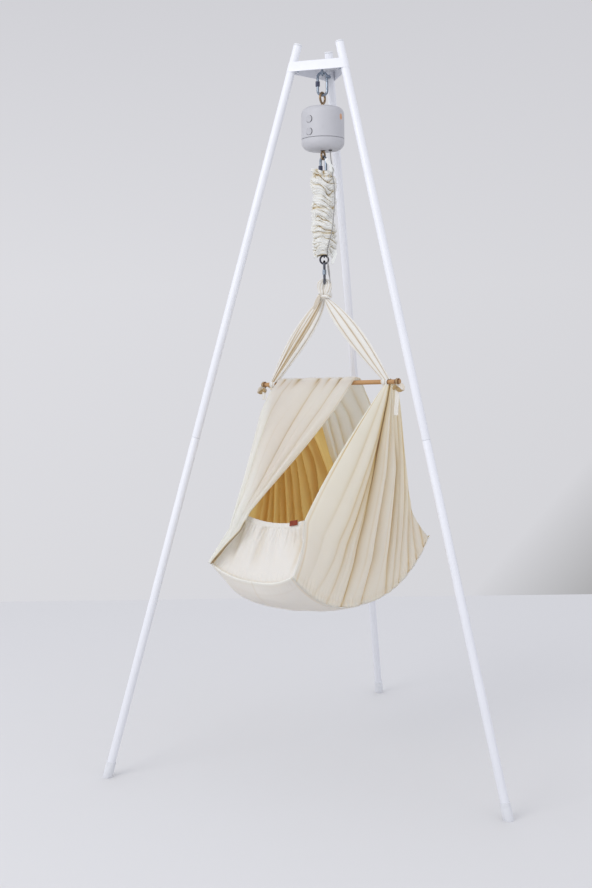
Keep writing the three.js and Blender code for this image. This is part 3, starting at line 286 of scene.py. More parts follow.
def make_camera():
    """The camera's axes: ahead from its heading and pitch, right and up turned by its roll."""
    ahead = HEADING * np.cos(PITCH) + np.array([0, 0, np.sin(PITCH)])
    right = unit(np.cross(ahead, [0, 0, 1.0]))
    up = np.cross(right, ahead)
    side = right * np.cos(ROLL) + up * np.sin(ROLL)
    rise = -right * np.sin(ROLL) + up * np.cos(ROLL)
    data = bpy.data.cameras.new("view")
    data.sensor_fit = "VERTICAL"
    data.sensor_height = SENSOR_MM
    data.lens = LENS_MM
    data.clip_end = 60
    camera = linked("view", data)
    stand_at(camera, side, rise, ahead, AXIS + VIEWPOINT)
    bpy.context.scene.camera = camera


make_camera()


# Finishes


class Nodes:
    """A node tree with short calls to add and join its nodes."""

    def __init__(self, tree):
        self.tree = tree

    def add(self, kind, values=None, **settings):
        """A new node. The settings are its own options, and the values go on its input sockets."""
        node = self.tree.nodes.new(kind)
        for key, value in settings.items():
            setattr(node, key, value)
        for key, value in (values or {}).items():
            if isinstance(value, bpy.types.NodeSocket):
                self.tree.links.new(value, node.inputs[key])
            else:
                node.inputs[key].default_value = value
        return node

    def join(self, output, socket):
        """Links an output to an input socket."""
        self.tree.links.new(output, socket)

    def noise(self, place, scale, detail):
        """Noise from 0 to 1 over the given coordinates."""
        return self.add("ShaderNodeTexNoise", {"Vector": place, "Scale": scale, "Detail": detail}).outputs[0]

    def scaled(self, place, scales):
        """Coordinates times a scale of their own for each axis."""
        return self.add("ShaderNodeMapping", {0: place, 3: scales}).outputs[0]

    def math(self, operation, a, b=0.0):
        """One sum, product or other operation on two values."""
        return self.add("ShaderNodeMath", {0: a, 1: b}, operation=operation).outputs[0]

    def blend(self, share, a, b):
        """Colour a at a share of 0, colour b at 1, and a mix between them."""
        node = self.add("ShaderNodeMix", data_type="RGBA", blend_type="MIX")
        for name, value in (("Factor", share), ("A", a), ("B", b)):
            socket = next(s for s in node.inputs if s.name == name and s.enabled)
            if isinstance(value, bpy.types.NodeSocket):
                self.tree.links.new(value, socket)
            else:
                socket.default_value = value
        return next(s for s in node.outputs if s.enabled)

    def spread(self, value, low, high, start=0.0, end=1.0):
        """A value's way from low to high, laid out from start to end and cut off beyond them."""
        node = self.add("ShaderNodeMapRange", {0: value, 1: low, 2: high, 3: start, 4: end})
        return node.outputs[0]


def effect(name, inputs, outputs):
    """A new node group with named inputs (name, kind, default) and outputs (name, kind)."""
    tree = bpy.data.node_groups.new(name, "ShaderNodeTree")
    for label, kind, value in inputs:
        socket = tree.interface.new_socket(label, in_out="INPUT", socket_type=kind)
        if value is not None:
            socket.default_value = value
    for label, kind in outputs:
        tree.interface.new_socket(label, in_out="OUTPUT", socket_type=kind)
    nodes = Nodes(tree)
    return nodes, nodes.add("NodeGroupInput"), nodes.add("NodeGroupOutput"), tree


FLOAT, VECTOR, COLOUR = "NodeSocketFloat", "NodeSocketVector", "NodeSocketColor"


def weave_effect():
    """Plain weave: two bands of threads at right angles, slubs where a thread is thick, and slow tone
    changes."""
    nodes, given, out, tree = effect(
        "plain_weave",
        [("Place", VECTOR, None), ("Threads", FLOAT, 900.0), ("Slub", FLOAT, 0.5),
        ("Tint", COLOUR, (1, 1, 1, 1)), ("Shade", COLOUR, (0, 0, 0, 1))],
        [("Colour", COLOUR), ("Height", FLOAT), ("Rough", FLOAT)],
    )
    place, threads = given.outputs["Place"], given.outputs["Threads"]
    apart = nodes.add("ShaderNodeSeparateXYZ", {0: place})
    across = nodes.math("SINE", nodes.math("MULTIPLY", apart.outputs[0], threads))
    along = nodes.math("SINE", nodes.math("MULTIPLY", apart.outputs[1], threads))
    cloth = nodes.math("MULTIPLY", across, along)
    warp = nodes.scaled(place, (700, 26, 1))
    weft = nodes.scaled(place, (30, 620, 1))
    slub_a = nodes.noise(warp, 1.0, 2.0)
    slub_b = nodes.noise(weft, 1.0, 2.0)
    slubs = nodes.math("ADD", slub_a, slub_b)
    cloud = nodes.noise(place, 16.0, 5.0)
    thick = nodes.math("MULTIPLY", nodes.math("SUBTRACT", slubs, 1.0), given.outputs["Slub"])
    height = nodes.math("ADD", nodes.math("MULTIPLY", cloth, 0.25), thick)
    share = nodes.math("ADD", nodes.math("MULTIPLY", thick, 0.9), nodes.spread(cloud, 0.3, 0.7, -0.16, 0.22))
    colour = nodes.blend(nodes.spread(share, -0.2, 0.6), given.outputs["Tint"], given.outputs["Shade"])
    nodes.join(colour, out.inputs["Colour"])
    nodes.join(height, out.inputs["Height"])
    nodes.join(nodes.spread(slubs, 0.6, 1.4, 0.82, 0.96), out.inputs["Rough"])
    return tree


def grain_effect():
    """A fine moulded or sprayed grain: small noise for height, and slow noise for tone and roughness."""
    nodes, given, out, tree = effect(
        "fine_grain",
        [("Place", VECTOR, None), ("Grain", FLOAT, 900.0), ("Tint", COLOUR, (1, 1, 1, 1)),
        ("Shade", COLOUR, (0, 0, 0, 1)), ("Rough", FLOAT, 0.4)],
        [("Colour", COLOUR), ("Height", FLOAT), ("Rough", FLOAT)],
    )
    place = given.outputs["Place"]
    fine = nodes.noise(place, given.outputs["Grain"], 2.0)
    slow = nodes.noise(place, 9.0, 4.0)
    marks = nodes.noise(place, 55.0, 6.0)
    share = nodes.math(
        "ADD", nodes.spread(slow, 0.35, 0.7, 0.0, 0.5), nodes.spread(marks, 0.62, 0.78, 0.0, 0.4)
    )
    colour = nodes.blend(share, given.outputs["Tint"], given.outputs["Shade"])
    rough = nodes.math("ADD", given.outputs["Rough"], nodes.spread(marks, 0.35, 0.7, -0.05, 0.1))
    nodes.join(colour, out.inputs["Colour"])
    nodes.join(fine, out.inputs["Height"])
    nodes.join(rough, out.inputs["Rough"])
    return tree


WEAVE = weave_effect()
GRAIN = grain_effect()


def finish(name, metallic=0.0, **plain):
    """A new material with one Principled shader. Plain values go on the shader's own sockets."""
    material = bpy.data.materials.new(name)
    material.use_nodes = True
    nodes = Nodes(material.node_tree)
    shader = material.node_tree.nodes["Principled BSDF"]
    shader.inputs["Metallic"].default_value = metallic
    for key, value in plain.items():
        shader.inputs[key.replace("_", " ")].default_value = value
    return material, nodes, shader


def join_up(nodes, shader, grouped, bump_share, distance):
    """Feeds a group's colour, roughness and height into the shader."""
    nodes.join(grouped.outputs["Colour"], shader.inputs["Base Color"])
    nodes.join(grouped.outputs["Rough"], shader.inputs["Roughness"])
    bump = nodes.add(
        "ShaderNodeBump",
        {"Strength": bump_share, "Distance": distance, "Height": grouped.outputs["Height"]},
    )
    nodes.join(bump.outputs[0], shader.inputs["Normal"])


# The darkest painted shadow, far down in folds, creases and gaps.
FOLD_SHADOW_BROWN = (0.24, 0.11, 0.03, 1)


def cotton(name, tint, shade, fold, light, threads=5200.0, slub=0.5, thin=0.42):
    """Unbleached plain weave cotton on the piece's flat coordinates, with light coming through. The painted
    shade mask turns its colour to the given fold colour and then to brown: painted shade in its folds,
    creases and gaps."""
    material, nodes, shader = finish(name, Sheen_Weight=0.25, Sheen_Roughness=0.6)
    place = nodes.add("ShaderNodeUVMap", uv_map="flat").outputs[0]
    values = {"Place": place, "Threads": threads, "Slub": slub, "Tint": (*tint, 1), "Shade": (*shade, 1)}
    grouped = add_group(nodes, WEAVE, values)
    join_up(nodes, shader, grouped, 0.35, 0.0006)
    painted_shade = nodes.add("ShaderNodeAttribute", attribute_name="painted_shade").outputs["Fac"]
    colour = nodes.blend(nodes.spread(painted_shade, 0.0, 0.7), grouped.outputs["Colour"], (*fold, 1))
    colour = nodes.blend(nodes.spread(painted_shade, 0.6, 1.0), colour, FOLD_SHADOW_BROWN)
    nodes.join(colour, shader.inputs["Base Color"])
    glow = nodes.blend(0.6, colour, (*light, 1))
    through = nodes.add("ShaderNodeBsdfTranslucent", {"Color": glow})
    both = nodes.add("ShaderNodeMixShader", {0: thin, 1: shader.outputs[0], 2: through.outputs[0]})
    nodes.join(both.outputs[0], material.node_tree.nodes["Material Output"].inputs["Surface"])
    return material


def add_group(nodes, tree, values):
    """Places a node group, whose sockets exist only once its tree is set."""
    node = nodes.tree.nodes.new("ShaderNodeGroup")
    node.node_tree = tree
    for key, value in values.items():
        if isinstance(value, bpy.types.NodeSocket):
            nodes.join(value, node.inputs[key])
        else:
            node.inputs[key].default_value = value
    return node


def grained(name, tint, shade, rough, grain=900.0, bump=0.15, distance=0.0002, metallic=0.0, **plain):
    """A sprayed, moulded or plated finish on Object coordinates."""
    material, nodes, shader = finish(name, metallic, **plain)
    place = nodes.add("ShaderNodeTexCoord").outputs["Object"]
    grouped = add_group(
        nodes, GRAIN, {"Place": place, "Grain": grain, "Tint": (*tint, 1), "Shade": (*shade, 1),
        "Rough": rough}
    )
    join_up(nodes, shader, grouped, bump, distance)
    return material


POWDER = grained("powder_coat_white", (0.76, 0.77, 0.81), (0.72, 0.73, 0.77), 0.34, grain=1400, bump=0.12)
CAP_WHITE = grained("cap_plastic_white", (0.70, 0.71, 0.74), (0.64, 0.65, 0.67), 0.5, grain=1800)
ZINC = grained("zinc_plate", (0.36, 0.42, 0.50), (0.22, 0.26, 0.32), 0.24, grain=700, bump=0.1, metallic=1.0)
# Darker copies of the zinc plate, painted dark reflection: one for the bottom link's wire, one for the upper
# links' nuts.
SHADED_ZINC = grained("zinc_shaded", (0.16, 0.17, 0.20), (0.08, 0.085, 0.10), 0.3, grain=700, metallic=1.0)
NUT_ZINC = grained("nut_zinc", (0.14, 0.15, 0.22), (0.09, 0.10, 0.14), 0.3, grain=700, metallic=1.0)
YELLOW_ZINC = grained(
    "yellow_zinc_plate", (0.42, 0.29, 0.17), (0.26, 0.17, 0.10), 0.3, grain=700, metallic=1.0
)
DARK_STEEL = grained("dark_steel", (0.10, 0.10, 0.13), (0.05, 0.05, 0.06), 0.3, grain=700, metallic=1.0)
HOUSING = grained("housing_grey", (0.50, 0.50, 0.525), (0.455, 0.455, 0.475), 0.5, grain=2600, bump=0.12)
BUTTON = grained("button_grey", (0.46, 0.46, 0.485), (0.41, 0.41, 0.43), 0.55, grain=2600)
LENS = grained("amber_lens", (0.62, 0.34, 0.20), (0.50, 0.24, 0.12), 0.2, grain=300, Coat_Weight=0.6)
BLACK = grained("black_plastic", (0.02, 0.02, 0.022), (0.04, 0.04, 0.04), 0.45, grain=2200)
BOARD = grained("circuit_green", (0.02, 0.10, 0.05), (0.03, 0.16, 0.08), 0.4, grain=300)
CORD_GREY = grained(
    "braided_grey", (0.32, 0.31, 0.30), (0.20, 0.19, 0.18), 0.8, grain=1500, bump=0.5, distance=0.0004
)
WARM_LIGHT = (1.0, 0.99, 0.93)
# One cotton in copies for light and shade: the ends' copy is darker as painted shade, and the sides' and the
# drape's are paler as painted light. Each also has its own colour of painted fold shade.
COTTON = cotton(
    "cotton_natural", (0.885, 0.90, 0.885), (0.845, 0.85, 0.825), (0.60, 0.46, 0.20), WARM_LIGHT, thin=0.26
)
END_COTTON = cotton(
    "cotton_ends", (0.785, 0.79, 0.77), (0.74, 0.74, 0.71), (0.56, 0.46, 0.26), WARM_LIGHT, thin=0.22
)
SIDE_COTTON = cotton(
    "cotton_sides", (0.93, 0.95, 0.905), (0.89, 0.905, 0.84), (0.62, 0.44, 0.11), WARM_LIGHT, thin=0.36
)
THIN_COTTON = cotton(
    "cotton_drape", (0.955, 0.975, 0.985), (0.91, 0.925, 0.925), (0.58, 0.43, 0.17), WARM_LIGHT, thin=0.64
)
# The warm ochre of the panels' inner faces is painted light: the glow of light coming through the cloth into
# the cradle.
INSIDE_GLOW = cotton(
    "cotton_inside_glow", (1.0, 0.80, 0.34), (0.96, 0.72, 0.26), (0.76, 0.38, 0.06), (1.0, 0.84, 0.45), thin=0.76
)
BAND = cotton("cotton_band", (0.87, 0.86, 0.83), (0.81, 0.795, 0.75), (0.48, 0.34, 0.15), WARM_LIGHT,
              threads=4200.0, slub=0.7, thin=0.26)
# A paler copy of the cotton as painted light on the drape's inner face; the mattress takes it too.
LIT_INSIDE = cotton(
    "cotton_inside", (0.98, 0.97, 0.93), (0.94, 0.925, 0.87), (0.78, 0.64, 0.36), WARM_LIGHT, thin=0.85
)


def wood_finish():
    """Oiled beech: long fibres along the bar, growth bands and small dark flecks, and painted shade in the
    grooves from the painted shade mask.
    """
    material, nodes, shader = finish("oiled_beech", Coat_Weight=0.08)
    place = nodes.add("ShaderNodeUVMap", uv_map="flat").outputs[0]
    stretched = nodes.scaled(place, (260, 9, 1))
    fibre = nodes.noise(stretched, 2.0, 8.0)
    bands = nodes.scaled(place, (90, 3, 1))
    growth = nodes.noise(bands, 1.0, 3.0)
    flecks = nodes.scaled(place, (900, 120, 1))
    fleck = nodes.noise(flecks, 1.0, 1.0)
    tone = nodes.blend(nodes.spread(growth, 0.35, 0.65), (0.51, 0.295, 0.130, 1), (0.41, 0.22, 0.085, 1))
    tone = nodes.blend(nodes.spread(fleck, 0.62, 0.7, 0, 0.5), tone, (0.25, 0.13, 0.06, 1))
    painted_shade = nodes.add("ShaderNodeAttribute", attribute_name="painted_shade").outputs["Fac"]
    # Painted shade in the grooves.
    tone = nodes.blend(painted_shade, tone, (0.13, 0.055, 0.03, 1))
    nodes.join(tone, shader.inputs["Base Color"])
    nodes.join(nodes.spread(fibre, 0.3, 0.7, 0.45, 0.65), shader.inputs["Roughness"])
    bump = nodes.add("ShaderNodeBump", {"Strength": 0.25, "Distance": 0.0003, "Height": fibre})
    nodes.join(bump.outputs[0], shader.inputs["Normal"])
    return material


def leather_finish():
    """Vegetable tanned leather: cell grain with creases between the cells, and a burnished tone."""
    material, nodes, shader = finish("brown_leather", Specular_IOR_Level=0.35)
    place = nodes.add("ShaderNodeTexCoord").outputs["Object"]
    cells = nodes.add("ShaderNodeTexVoronoi", {"Vector": place, "Scale": 900.0}, feature="DISTANCE_TO_EDGE")
    cloud = nodes.noise(place, 120.0, 5.0)
    crease = nodes.spread(cells.outputs[0], 0.0, 0.12)
    tone = nodes.blend(nodes.spread(cloud, 0.35, 0.65), (0.29, 0.040, 0.010, 1), (0.20, 0.026, 0.007, 1))
    tone = nodes.blend(crease, (0.11, 0.022, 0.008, 1), tone)
    nodes.join(tone, shader.inputs["Base Color"])
    nodes.join(nodes.spread(cloud, 0.3, 0.7, 0.5, 0.7), shader.inputs["Roughness"])
    bump = nodes.add("ShaderNodeBump", {"Strength": 0.4, "Distance": 0.0003, "Height": crease})
    nodes.join(bump.outputs[0], shader.inputs["Normal"])
    return material


BEECH = wood_finish()
LEATHER = leather_finish()


# The safety cord

CORD_ROUTE = np.array([
    [17.55, 12, 387], [19.5, 12, 358], [19.5, 12, 341], [22, 18, 319], [26, 28, 298], [24, 31, 284],
    [28, 27.5, 262], [30, 26, 235], [29, 27.5, 205], [26, 30, 178], [23.5, 32, 150], [18, 35, 124],
    [12, 37, 100], [8, 36, 84], [9.5, 28, 70], [9.5, 22, 54], [11.3, 18.5, 36], [14, 15.5, 16],
    [15.5, 12.6, 0],
]) / 1000


def make_cord():
    """The cord's centreline is the smooth path through its route: right, forward and up from the low
    link."""
    route = CORD_ROUTE * [1, -1, 1] + [0, 0, LOW_WIRE]
    path = hung(smooth_path(route, 10))
    grid = capped(along_path(path, round_section(0.00125, 10), [1.0, 0, 0]))
    cord = piece("safety_cord_braid", grid, CORD_GREY, "output", ["safety_cord"])
    stretch(cord)


def make_cord_sleeve():
    """A braided sleeve, 5 mm thick with tapered ends, over the cord beside the bottom link."""
    route = CORD_ROUTE[-4:-1] * [1, -1, 1] + [0, 0, LOW_WIRE]
    path = hung(smooth_path(route, 12))
    s = np.linspace(0, 1, len(path))[:, None, None]
    section = round_section(0.0027, 14)[None] * (0.55 + 0.45 * np.minimum(1, 4 * np.minimum(s, 1 - s)))
    piece("cord_sleeve", capped(along_path(path, section, [1.0, 0, 0])), CORD_GREY, "ring", ())


make_cord()
make_cord_sleeve()


# The stand

FOOT_RADIUS, LEG_TOP_RADIUS, STAND_HEIGHT, JOINT_SHARE = 0.616, 0.065, 1.940, 0.467
LEG_TILT = np.arctan2(FOOT_RADIUS - LEG_TOP_RADIUS, STAND_HEIGHT)
LEG_LENGTH = np.hypot(FOOT_RADIUS - LEG_TOP_RADIUS, STAND_HEIGHT)
LEG_JOINT = LEG_LENGTH * JOINT_SHARE
LEGS = {"left": 210, "right": -30, "back": 90}
TUBE, TUBE_BORE = 0.011, 0.0095
PLATE_TOP, PLATE_UNDER, SKIRT_LOW = 1.893, 1.890, 1.867


def on_leg(points, side):
    """Points of a leg's own frame, with Z up the tube and X to the stand's axis, in their place."""
    cos, sin = np.cos(LEG_TILT), np.sin(LEG_TILT)
    x, y, z = points[..., 0], points[..., 1], points[..., 2]
    tilted = np.stack([FOOT_RADIUS - x * cos - z * sin, -y, z * cos - x * sin], -1)
    return turn_z(tilted, np.radians(LEGS[side])) + AXIS


def make_leg(side):
    """One leg: two turned tubes that meet at the joint, an end cap on top and a foot below."""
    seat = LEG_LENGTH - 0.004
    lower = [
        (TUBE_BORE, 0.0123), (TUBE, 0.0123), (TUBE, LEG_JOINT), (TUBE_BORE, LEG_JOINT), (TUBE_BORE, 0.0123)
    ]
    upper = [(TUBE_BORE, LEG_JOINT + GAP), (TUBE, LEG_JOINT + GAP), (TUBE, seat - GAP),
             (TUBE_BORE, seat - GAP), (TUBE_BORE, LEG_JOINT + GAP)]
    for name, profile in (("lower", lower), ("upper", upper)):
        grid = on_leg(lathe(softened(profile, 0.0006), 48), side)
        piece(f"leg_{name}_tube_{side}", grid, POWDER, "stand", [f"leg_{name}_{side}"])
    plug = [
        (0, seat - 0.015), (0.0092, seat - 0.015), (0.0092, seat), (TUBE, seat), (TUBE, LEG_LENGTH),
        (0, LEG_LENGTH)
    ]
    grid = on_leg(lathe(softened(plug, 0.0012), 48), side)
    piece(f"leg_end_cap_{side}", grid, CAP_WHITE, "stand", [f"leg_top_cap_{side}"])
    make_foot(side)


def make_foot(side):
    """A turned boot with three V grooves. Points on the sole slide along the leg until they are level
    with the floor."""
    outer, inner, length, sole = 0.0131, 0.0113, 0.042, 0.012
    start = length - 6 * 0.0016 - 0.0018
    profile = [(0, 0), (outer - 0.0006, 0), (outer, 0.0012)]
    for i in range(3):
        low = start + 2 * i * 0.0016
        profile += [(outer, low), (outer - 0.0007, low + 0.0008), (outer, low + 0.0016)]
    profile += [(outer, length - 0.0006), (outer - 0.0006, length), (inner, length), (inner, sole), (0, sole)]
    grid = lathe(profile, 48)
    near = 1 - np.clip(grid[..., 2] / 0.004, 0, 1)
    grid[..., 2] += near * grid[..., 0] * np.tan(LEG_TILT)
    piece(f"foot_boot_{side}", on_leg(grid, side), CAP_WHITE, "stand", [f"foot_cap_{side}"])


def bracket_row(share, reach, height):
    """The band's outline at a height: the hull of three circles round the tubes, drawn in to a share of
    itself."""
    centre = LEG_TOP_RADIUS + (STAND_HEIGHT - height) * np.tan(LEG_TILT)
    around = np.radians(np.concatenate([a + np.linspace(-60, 60, 13) for a in (-30, 90, 210)] + [[-90]]))
    toward = np.radians(np.concatenate([np.full(13, a) for a in (-30, 90, 210)] + [[-30]]))
    x = share * (centre * np.cos(toward) + reach * np.cos(around))
    y = share * (centre * np.sin(toward) + reach * np.sin(around))
    return stacked(x, y, height + 0 * x)


def make_bracket():
    """The pressed steel tray that joins the legs: a level plate with a skirt that wraps round the three
    tubes."""
    top, under, low, outer, inner = PLATE_TOP, PLATE_UNDER, SKIRT_LOW, 0.0122, 0.0097
    rows = [(0, outer, top), (0.5, outer, top), (1, outer - 0.0012, top), (1, outer - 0.0003, top - 0.0004),
            (1, outer, top - 0.0014), (1, outer, low + 0.0005), (1, outer - 0.0005, low), (1, inner, low),
            (1, inner, under - 0.001), (0.98, inner, under), (0.5, inner, under), (0, inner, under)]
    grid = np.stack([bracket_row(*row) for row in rows]) + AXIS
    piece("leg_bracket", grid, POWDER, "stand", ["top_bracket"])


for leg_side in LEGS:
    make_leg(leg_side)
make_bracket()


# Rings, links and nuts


def ring_grid(radius, wire, height, yaw, sides=14, steps=56):
    """A wire ring upright in the XZ plane: a circle of radius carried round with a round section."""
    angle = np.linspace(0, TURN, steps + 1)
    path = stacked(radius * np.cos(angle), 0 * angle, radius * np.sin(angle))
    section = round_section(wire, sides)
    out = stacked(np.cos(angle), 0 * angle, np.sin(angle))
    grid = path[:, None] + out[:, None] * section[None, :, :1] + np.array([0, 1.0, 0]) * section[None, :, 1:]
    return turn_z(grid, yaw) + [0, 0, height]


def hex_nut(radius, bore, low, high, sides=6):
    """A six sided nut with rounded corners and a bore: r is the apothem over the cosine to the nearest
    flat."""
    angle = np.linspace(0, TURN, 8 * sides + 1)[None]
    part = (angle % (TURN / sides)) - TURN / sides / 2
    flat = radius * np.cos(np.pi / sides) / np.cos(part)
    round_corner = np.minimum(flat, radius * 0.97)
    profile = softened([(bore, low), (1, low), (1, high), (bore, high), (bore, low)], 0.0007, 3)
    share = np.clip((profile[:, :1] - bore) / (1 - bore), 0, 1)
    reach = bore + share * (round_corner - bore)
    return around(reach, angle, profile[:, 1:])


def link_path(steps=120):
    """The quick link's oval: two half circles and two straights, open on the left for the sleeve nut."""
    half, straight, opening = 0.0125, 0.017, 0.004
    lengths = np.array([straight - opening, np.pi * half, 2 * straight, np.pi * half, straight - opening])
    ends = np.cumsum(lengths)
    s = np.linspace(0, ends[-1], steps)
    low = np.clip((s - ends[0]) / half, 0, np.pi)
    high = np.clip((s - ends[2]) / half, 0, np.pi)
    x = -half * np.cos(low) * (s < ends[2]) + half * np.cos(high) * (s >= ends[2])
    down = -opening - np.minimum(s, lengths[0])
    rise = np.clip(s - ends[1], 0, lengths[2])
    z = down - half * np.sin(low) + rise + half * np.sin(high)
    z = z - np.clip(s - ends[3], 0, lengths[4])
    return stacked(x, 0 * s, z)


def make_link(which, height, yaw, body, nut_body):
    """A quick link of 7 mm wire at its height and turn in degrees, with its sleeve nut on the open side."""
    grid = capped(along_path(link_path(), round_section(0.0035, 16), [0, 1.0, 0]))
    place = hung(grid, np.radians(yaw)) + [0, 0, height]
    look = SHADED_ZINC if which == "bottom" else ZINC
    piece(f"{which}_link_wire", place, look, body, [f"{which}_quick_link"])
    nut = hex_nut(0.006, 0.0038, -0.0065, 0.0065) - [0.0125, 0, 0]
    place = hung(nut, np.radians(yaw)) + [0, 0, height]
    look = ZINC if which == "bottom" else NUT_ZINC
    piece(f"{which}_link_sleeve", place, look, nut_body, [f"{which}_link_nut"])


make_link("top", TOP_LINK, 0, "top_link", "top_nut")
make_link("middle", MIDDLE_LINK, -55, "output", "middle_nut")
make_link("bottom", LOW_LINK, 90, "bottom_link", "bottom_nut")


def make_hanger():
    """The eye bolt under the bracket, and its nut on top."""
    under, top = PLATE_UNDER, PLATE_TOP
    ring = hung(ring_grid(0.009, 0.003, 1.8724, np.radians(90)))
    collar = under - GAP
    stem = lathe(softened([
        (0, 1.8824), (0.003, 1.8814), (0.003, collar - 0.0055), (0.0075, collar - 0.003), (0.0075, collar),
        (0.003, collar), (0.003, top + 0.0088), (0.0024, top + 0.0093), (0, top + 0.0093),
    ], 0.0005), 40)
    piece("hanger_eye", [ring, hung(stem)], ZINC, "stand", ["hanger_eye_bolt"])
    nut = hung(hex_nut(0.0065, 0.0033, top + GAP, top + GAP + 0.006))
    piece("hanger_lock_nut", nut, ZINC, "stand", ["hanger_nut"])


def make_spring_ring():
    """The ring under the spring."""
    grid = hung(ring_grid(0.011, 0.0025, SPRING_RING, np.radians(4)))
    piece("spring_split_ring", grid, DARK_STEEL, "ring", ["spring_ring"])


make_hanger()
make_spring_ring()


# The motor unit

WALL, EYE_WIRE = 0.0025, 0.003
BUTTON_TURN, LENS_TURN, INLET_TURN, EYE_TURN = -39, 57, -150, np.radians(63)


def arc(radius, height, size, start, end, steps=12):
    """Points of an arc of a profile, angles in degrees."""
    angle = np.radians(np.linspace(start, end, steps))
    return list(zip(radius + size * np.cos(angle), height + size * np.sin(angle)))


def laid_out(grid, turn, height):
    """A shape built along Z, laid outwards from the axis towards turn, and raised."""
    x, y, z = grid[..., 0], grid[..., 1], grid[..., 2]
    return turn_z(np.stack([z, y, -x], -1), np.radians(turn) - np.pi / 2) + [0, 0, height]


def make_housing():
    """Two turned shells that meet at a shadow line: quarter circles of 20 and 22 mm at the top and
    bottom."""
    radius, wall, top_round, low_round = 0.0575, WALL, 0.020, 0.022
    hole = 0.0043
    upper = [(radius - wall, HOUSING_SEAM + 0.0006), (radius - 0.0008, HOUSING_SEAM + 0.0006),
             (radius, HOUSING_SEAM + 0.0014)]
    upper += arc(radius - top_round, HOUSING_TOP - top_round, top_round, 0, 90)
    upper += [(hole + 0.0006, HOUSING_TOP), (hole, HOUSING_TOP - 0.0006), (hole, HOUSING_TOP - wall)]
    upper += arc(radius - top_round, HOUSING_TOP - top_round, top_round - wall, 90, 0)
    upper += [(radius - wall, HOUSING_SEAM + 0.0006)]
    piece(
        "housing_upper", hung(lathe(upper, 128)), HOUSING, "motor_unit", ["motor_upper_shell"]
    )
    hole = 0.0078
    lower = [(hole, HOUSING_LOW)]
    lower += arc(radius - low_round, HOUSING_LOW + low_round, low_round, -90, 0)
    lower += [
        (radius, HOUSING_SEAM - 0.0010), (radius - 0.0008, HOUSING_SEAM - 0.0003),
        (radius - wall, HOUSING_SEAM - 0.0003)
    ]
    lower += arc(radius - low_round, HOUSING_LOW + low_round, low_round - wall, 0, -90)
    lower += [(hole, HOUSING_LOW + wall), (hole, HOUSING_LOW)]
    piece(
        "housing_lower", hung(lathe(lower, 128)), HOUSING, "motor_unit", ["motor_lower_shell"]
    )


def make_buttons():
    """Round push buttons with a dished face and a dark reveal round them."""
    for name, body, drop in (("upper", "upper_button", 0.037), ("lower", "lower_button", 0.0695)):
        face = 0.0595
        profile = softened([
            (0, 0.0455), (0.0045, 0.0455), (0.0045, 0.0505), (0.0105, 0.0505), (0.0105, 0.0532),
            (0.009, 0.0532), (0.009, face - 0.0002), (0.0078, face), (0.004, face - 0.0005),
            (0, face - 0.0007),
        ], 0.0006)
        grid = hung(laid_out(lathe(profile, 48), BUTTON_TURN, HOUSING_TOP - drop))
        piece(f"push_button_{name}", grid, BUTTON, body, [f"button_{name}"])
        groove = lathe(
            [(0.0092, 0.0570), (0.0104, 0.0567), (0.0104, 0.0572), (0.0092, 0.0575), (0.0092, 0.0570)], 48
        )
        piece(
            f"button_reveal_{name}", hung(laid_out(groove, BUTTON_TURN, HOUSING_TOP - drop)), BLACK,
            "motor_unit"
        )


def make_lens():
    """The indicator: an upright oval of 10 by 16 mm with a domed face."""
    profile = np.array(
        softened([(0, 0.0525), (0.005, 0.0525), (0.005, 0.0576), (0.0035, 0.0583), (0, 0.0585)], 0.0008)
    )
    grid = lathe(profile, 48)
    grid[..., 0] *= 0.0085 / 0.005
    grid[..., 1] *= 1.15
    piece(
        "indicator_window", hung(laid_out(grid, LENS_TURN, HOUSING_TOP - 0.030)), LENS, "motor_unit",
        ["indicator_lens"]
    )


def make_top_eye():
    """The eye on top of the motor unit: a ring on a stem with a collar inside the housing."""
    ring = hung(ring_grid(0.014, EYE_WIRE, MOTOR_EYE, EYE_TURN))
    collar = HOUSING_TOP - WALL - GAP - 0.003 - GAP
    stem = lathe(softened([
        (0, collar - 0.006), (0.008, collar - 0.006), (0.008, collar), (0.004, collar),
        (0.004, MOTOR_EYE - 0.0145), (0.0026, MOTOR_EYE - 0.0125), (0, MOTOR_EYE - 0.012),
    ], 0.0006), 40)
    piece("motor_eye", [ring, hung(stem)], YELLOW_ZINC, "motor_unit", ["motor_top_eye"])


def make_inlet():
    """The power socket at the back: a cup with a round bore and a centre pin."""
    profile = softened([
        (0, 0.0445), (0.0075, 0.0445), (0.0075, 0.0585), (0.0045, 0.0585), (0.0045, 0.0495), (0.001, 0.0495),
        (0.001, 0.0560), (0, 0.0562),
    ], 0.0005)
    grid = hung(laid_out(lathe(profile, 40), INLET_TURN, HOUSING_TOP - 0.070))
    piece("power_socket", grid, BLACK, "motor_unit", ["power_inlet"])


def make_low_fittings():
    """The bushing round the rod and the grommet round the cord, both turned."""
    low = HOUSING_LOW - GAP
    flange = HOUSING_LOW + WALL + GAP + 0.003 + GAP
    bushing = softened([(0.0053, low), (0.0075, low), (0.0075, flange), (0.009, flange),
                        (0.009, flange + 0.002), (0.0053, flange + 0.002), (0.0053, low)], 0.0004)
    piece("rod_guide", hung(lathe(bushing, 48)), BLACK, "motor_unit", ["rod_bushing"])
    bottom = low - 0.002
    grommet = softened([(0.0018, bottom), (0.0048, bottom), (0.0048, low), (0.0036, low), (0.0036, 1.6685),
                        (0.0018, 1.6685), (0.0018, bottom)], 0.0005)
    place = lathe(grommet, 40) + [0.0195, -0.012, 0]
    piece("cord_guide", hung(place), BLACK, "motor_unit", ["cord_grommet"])


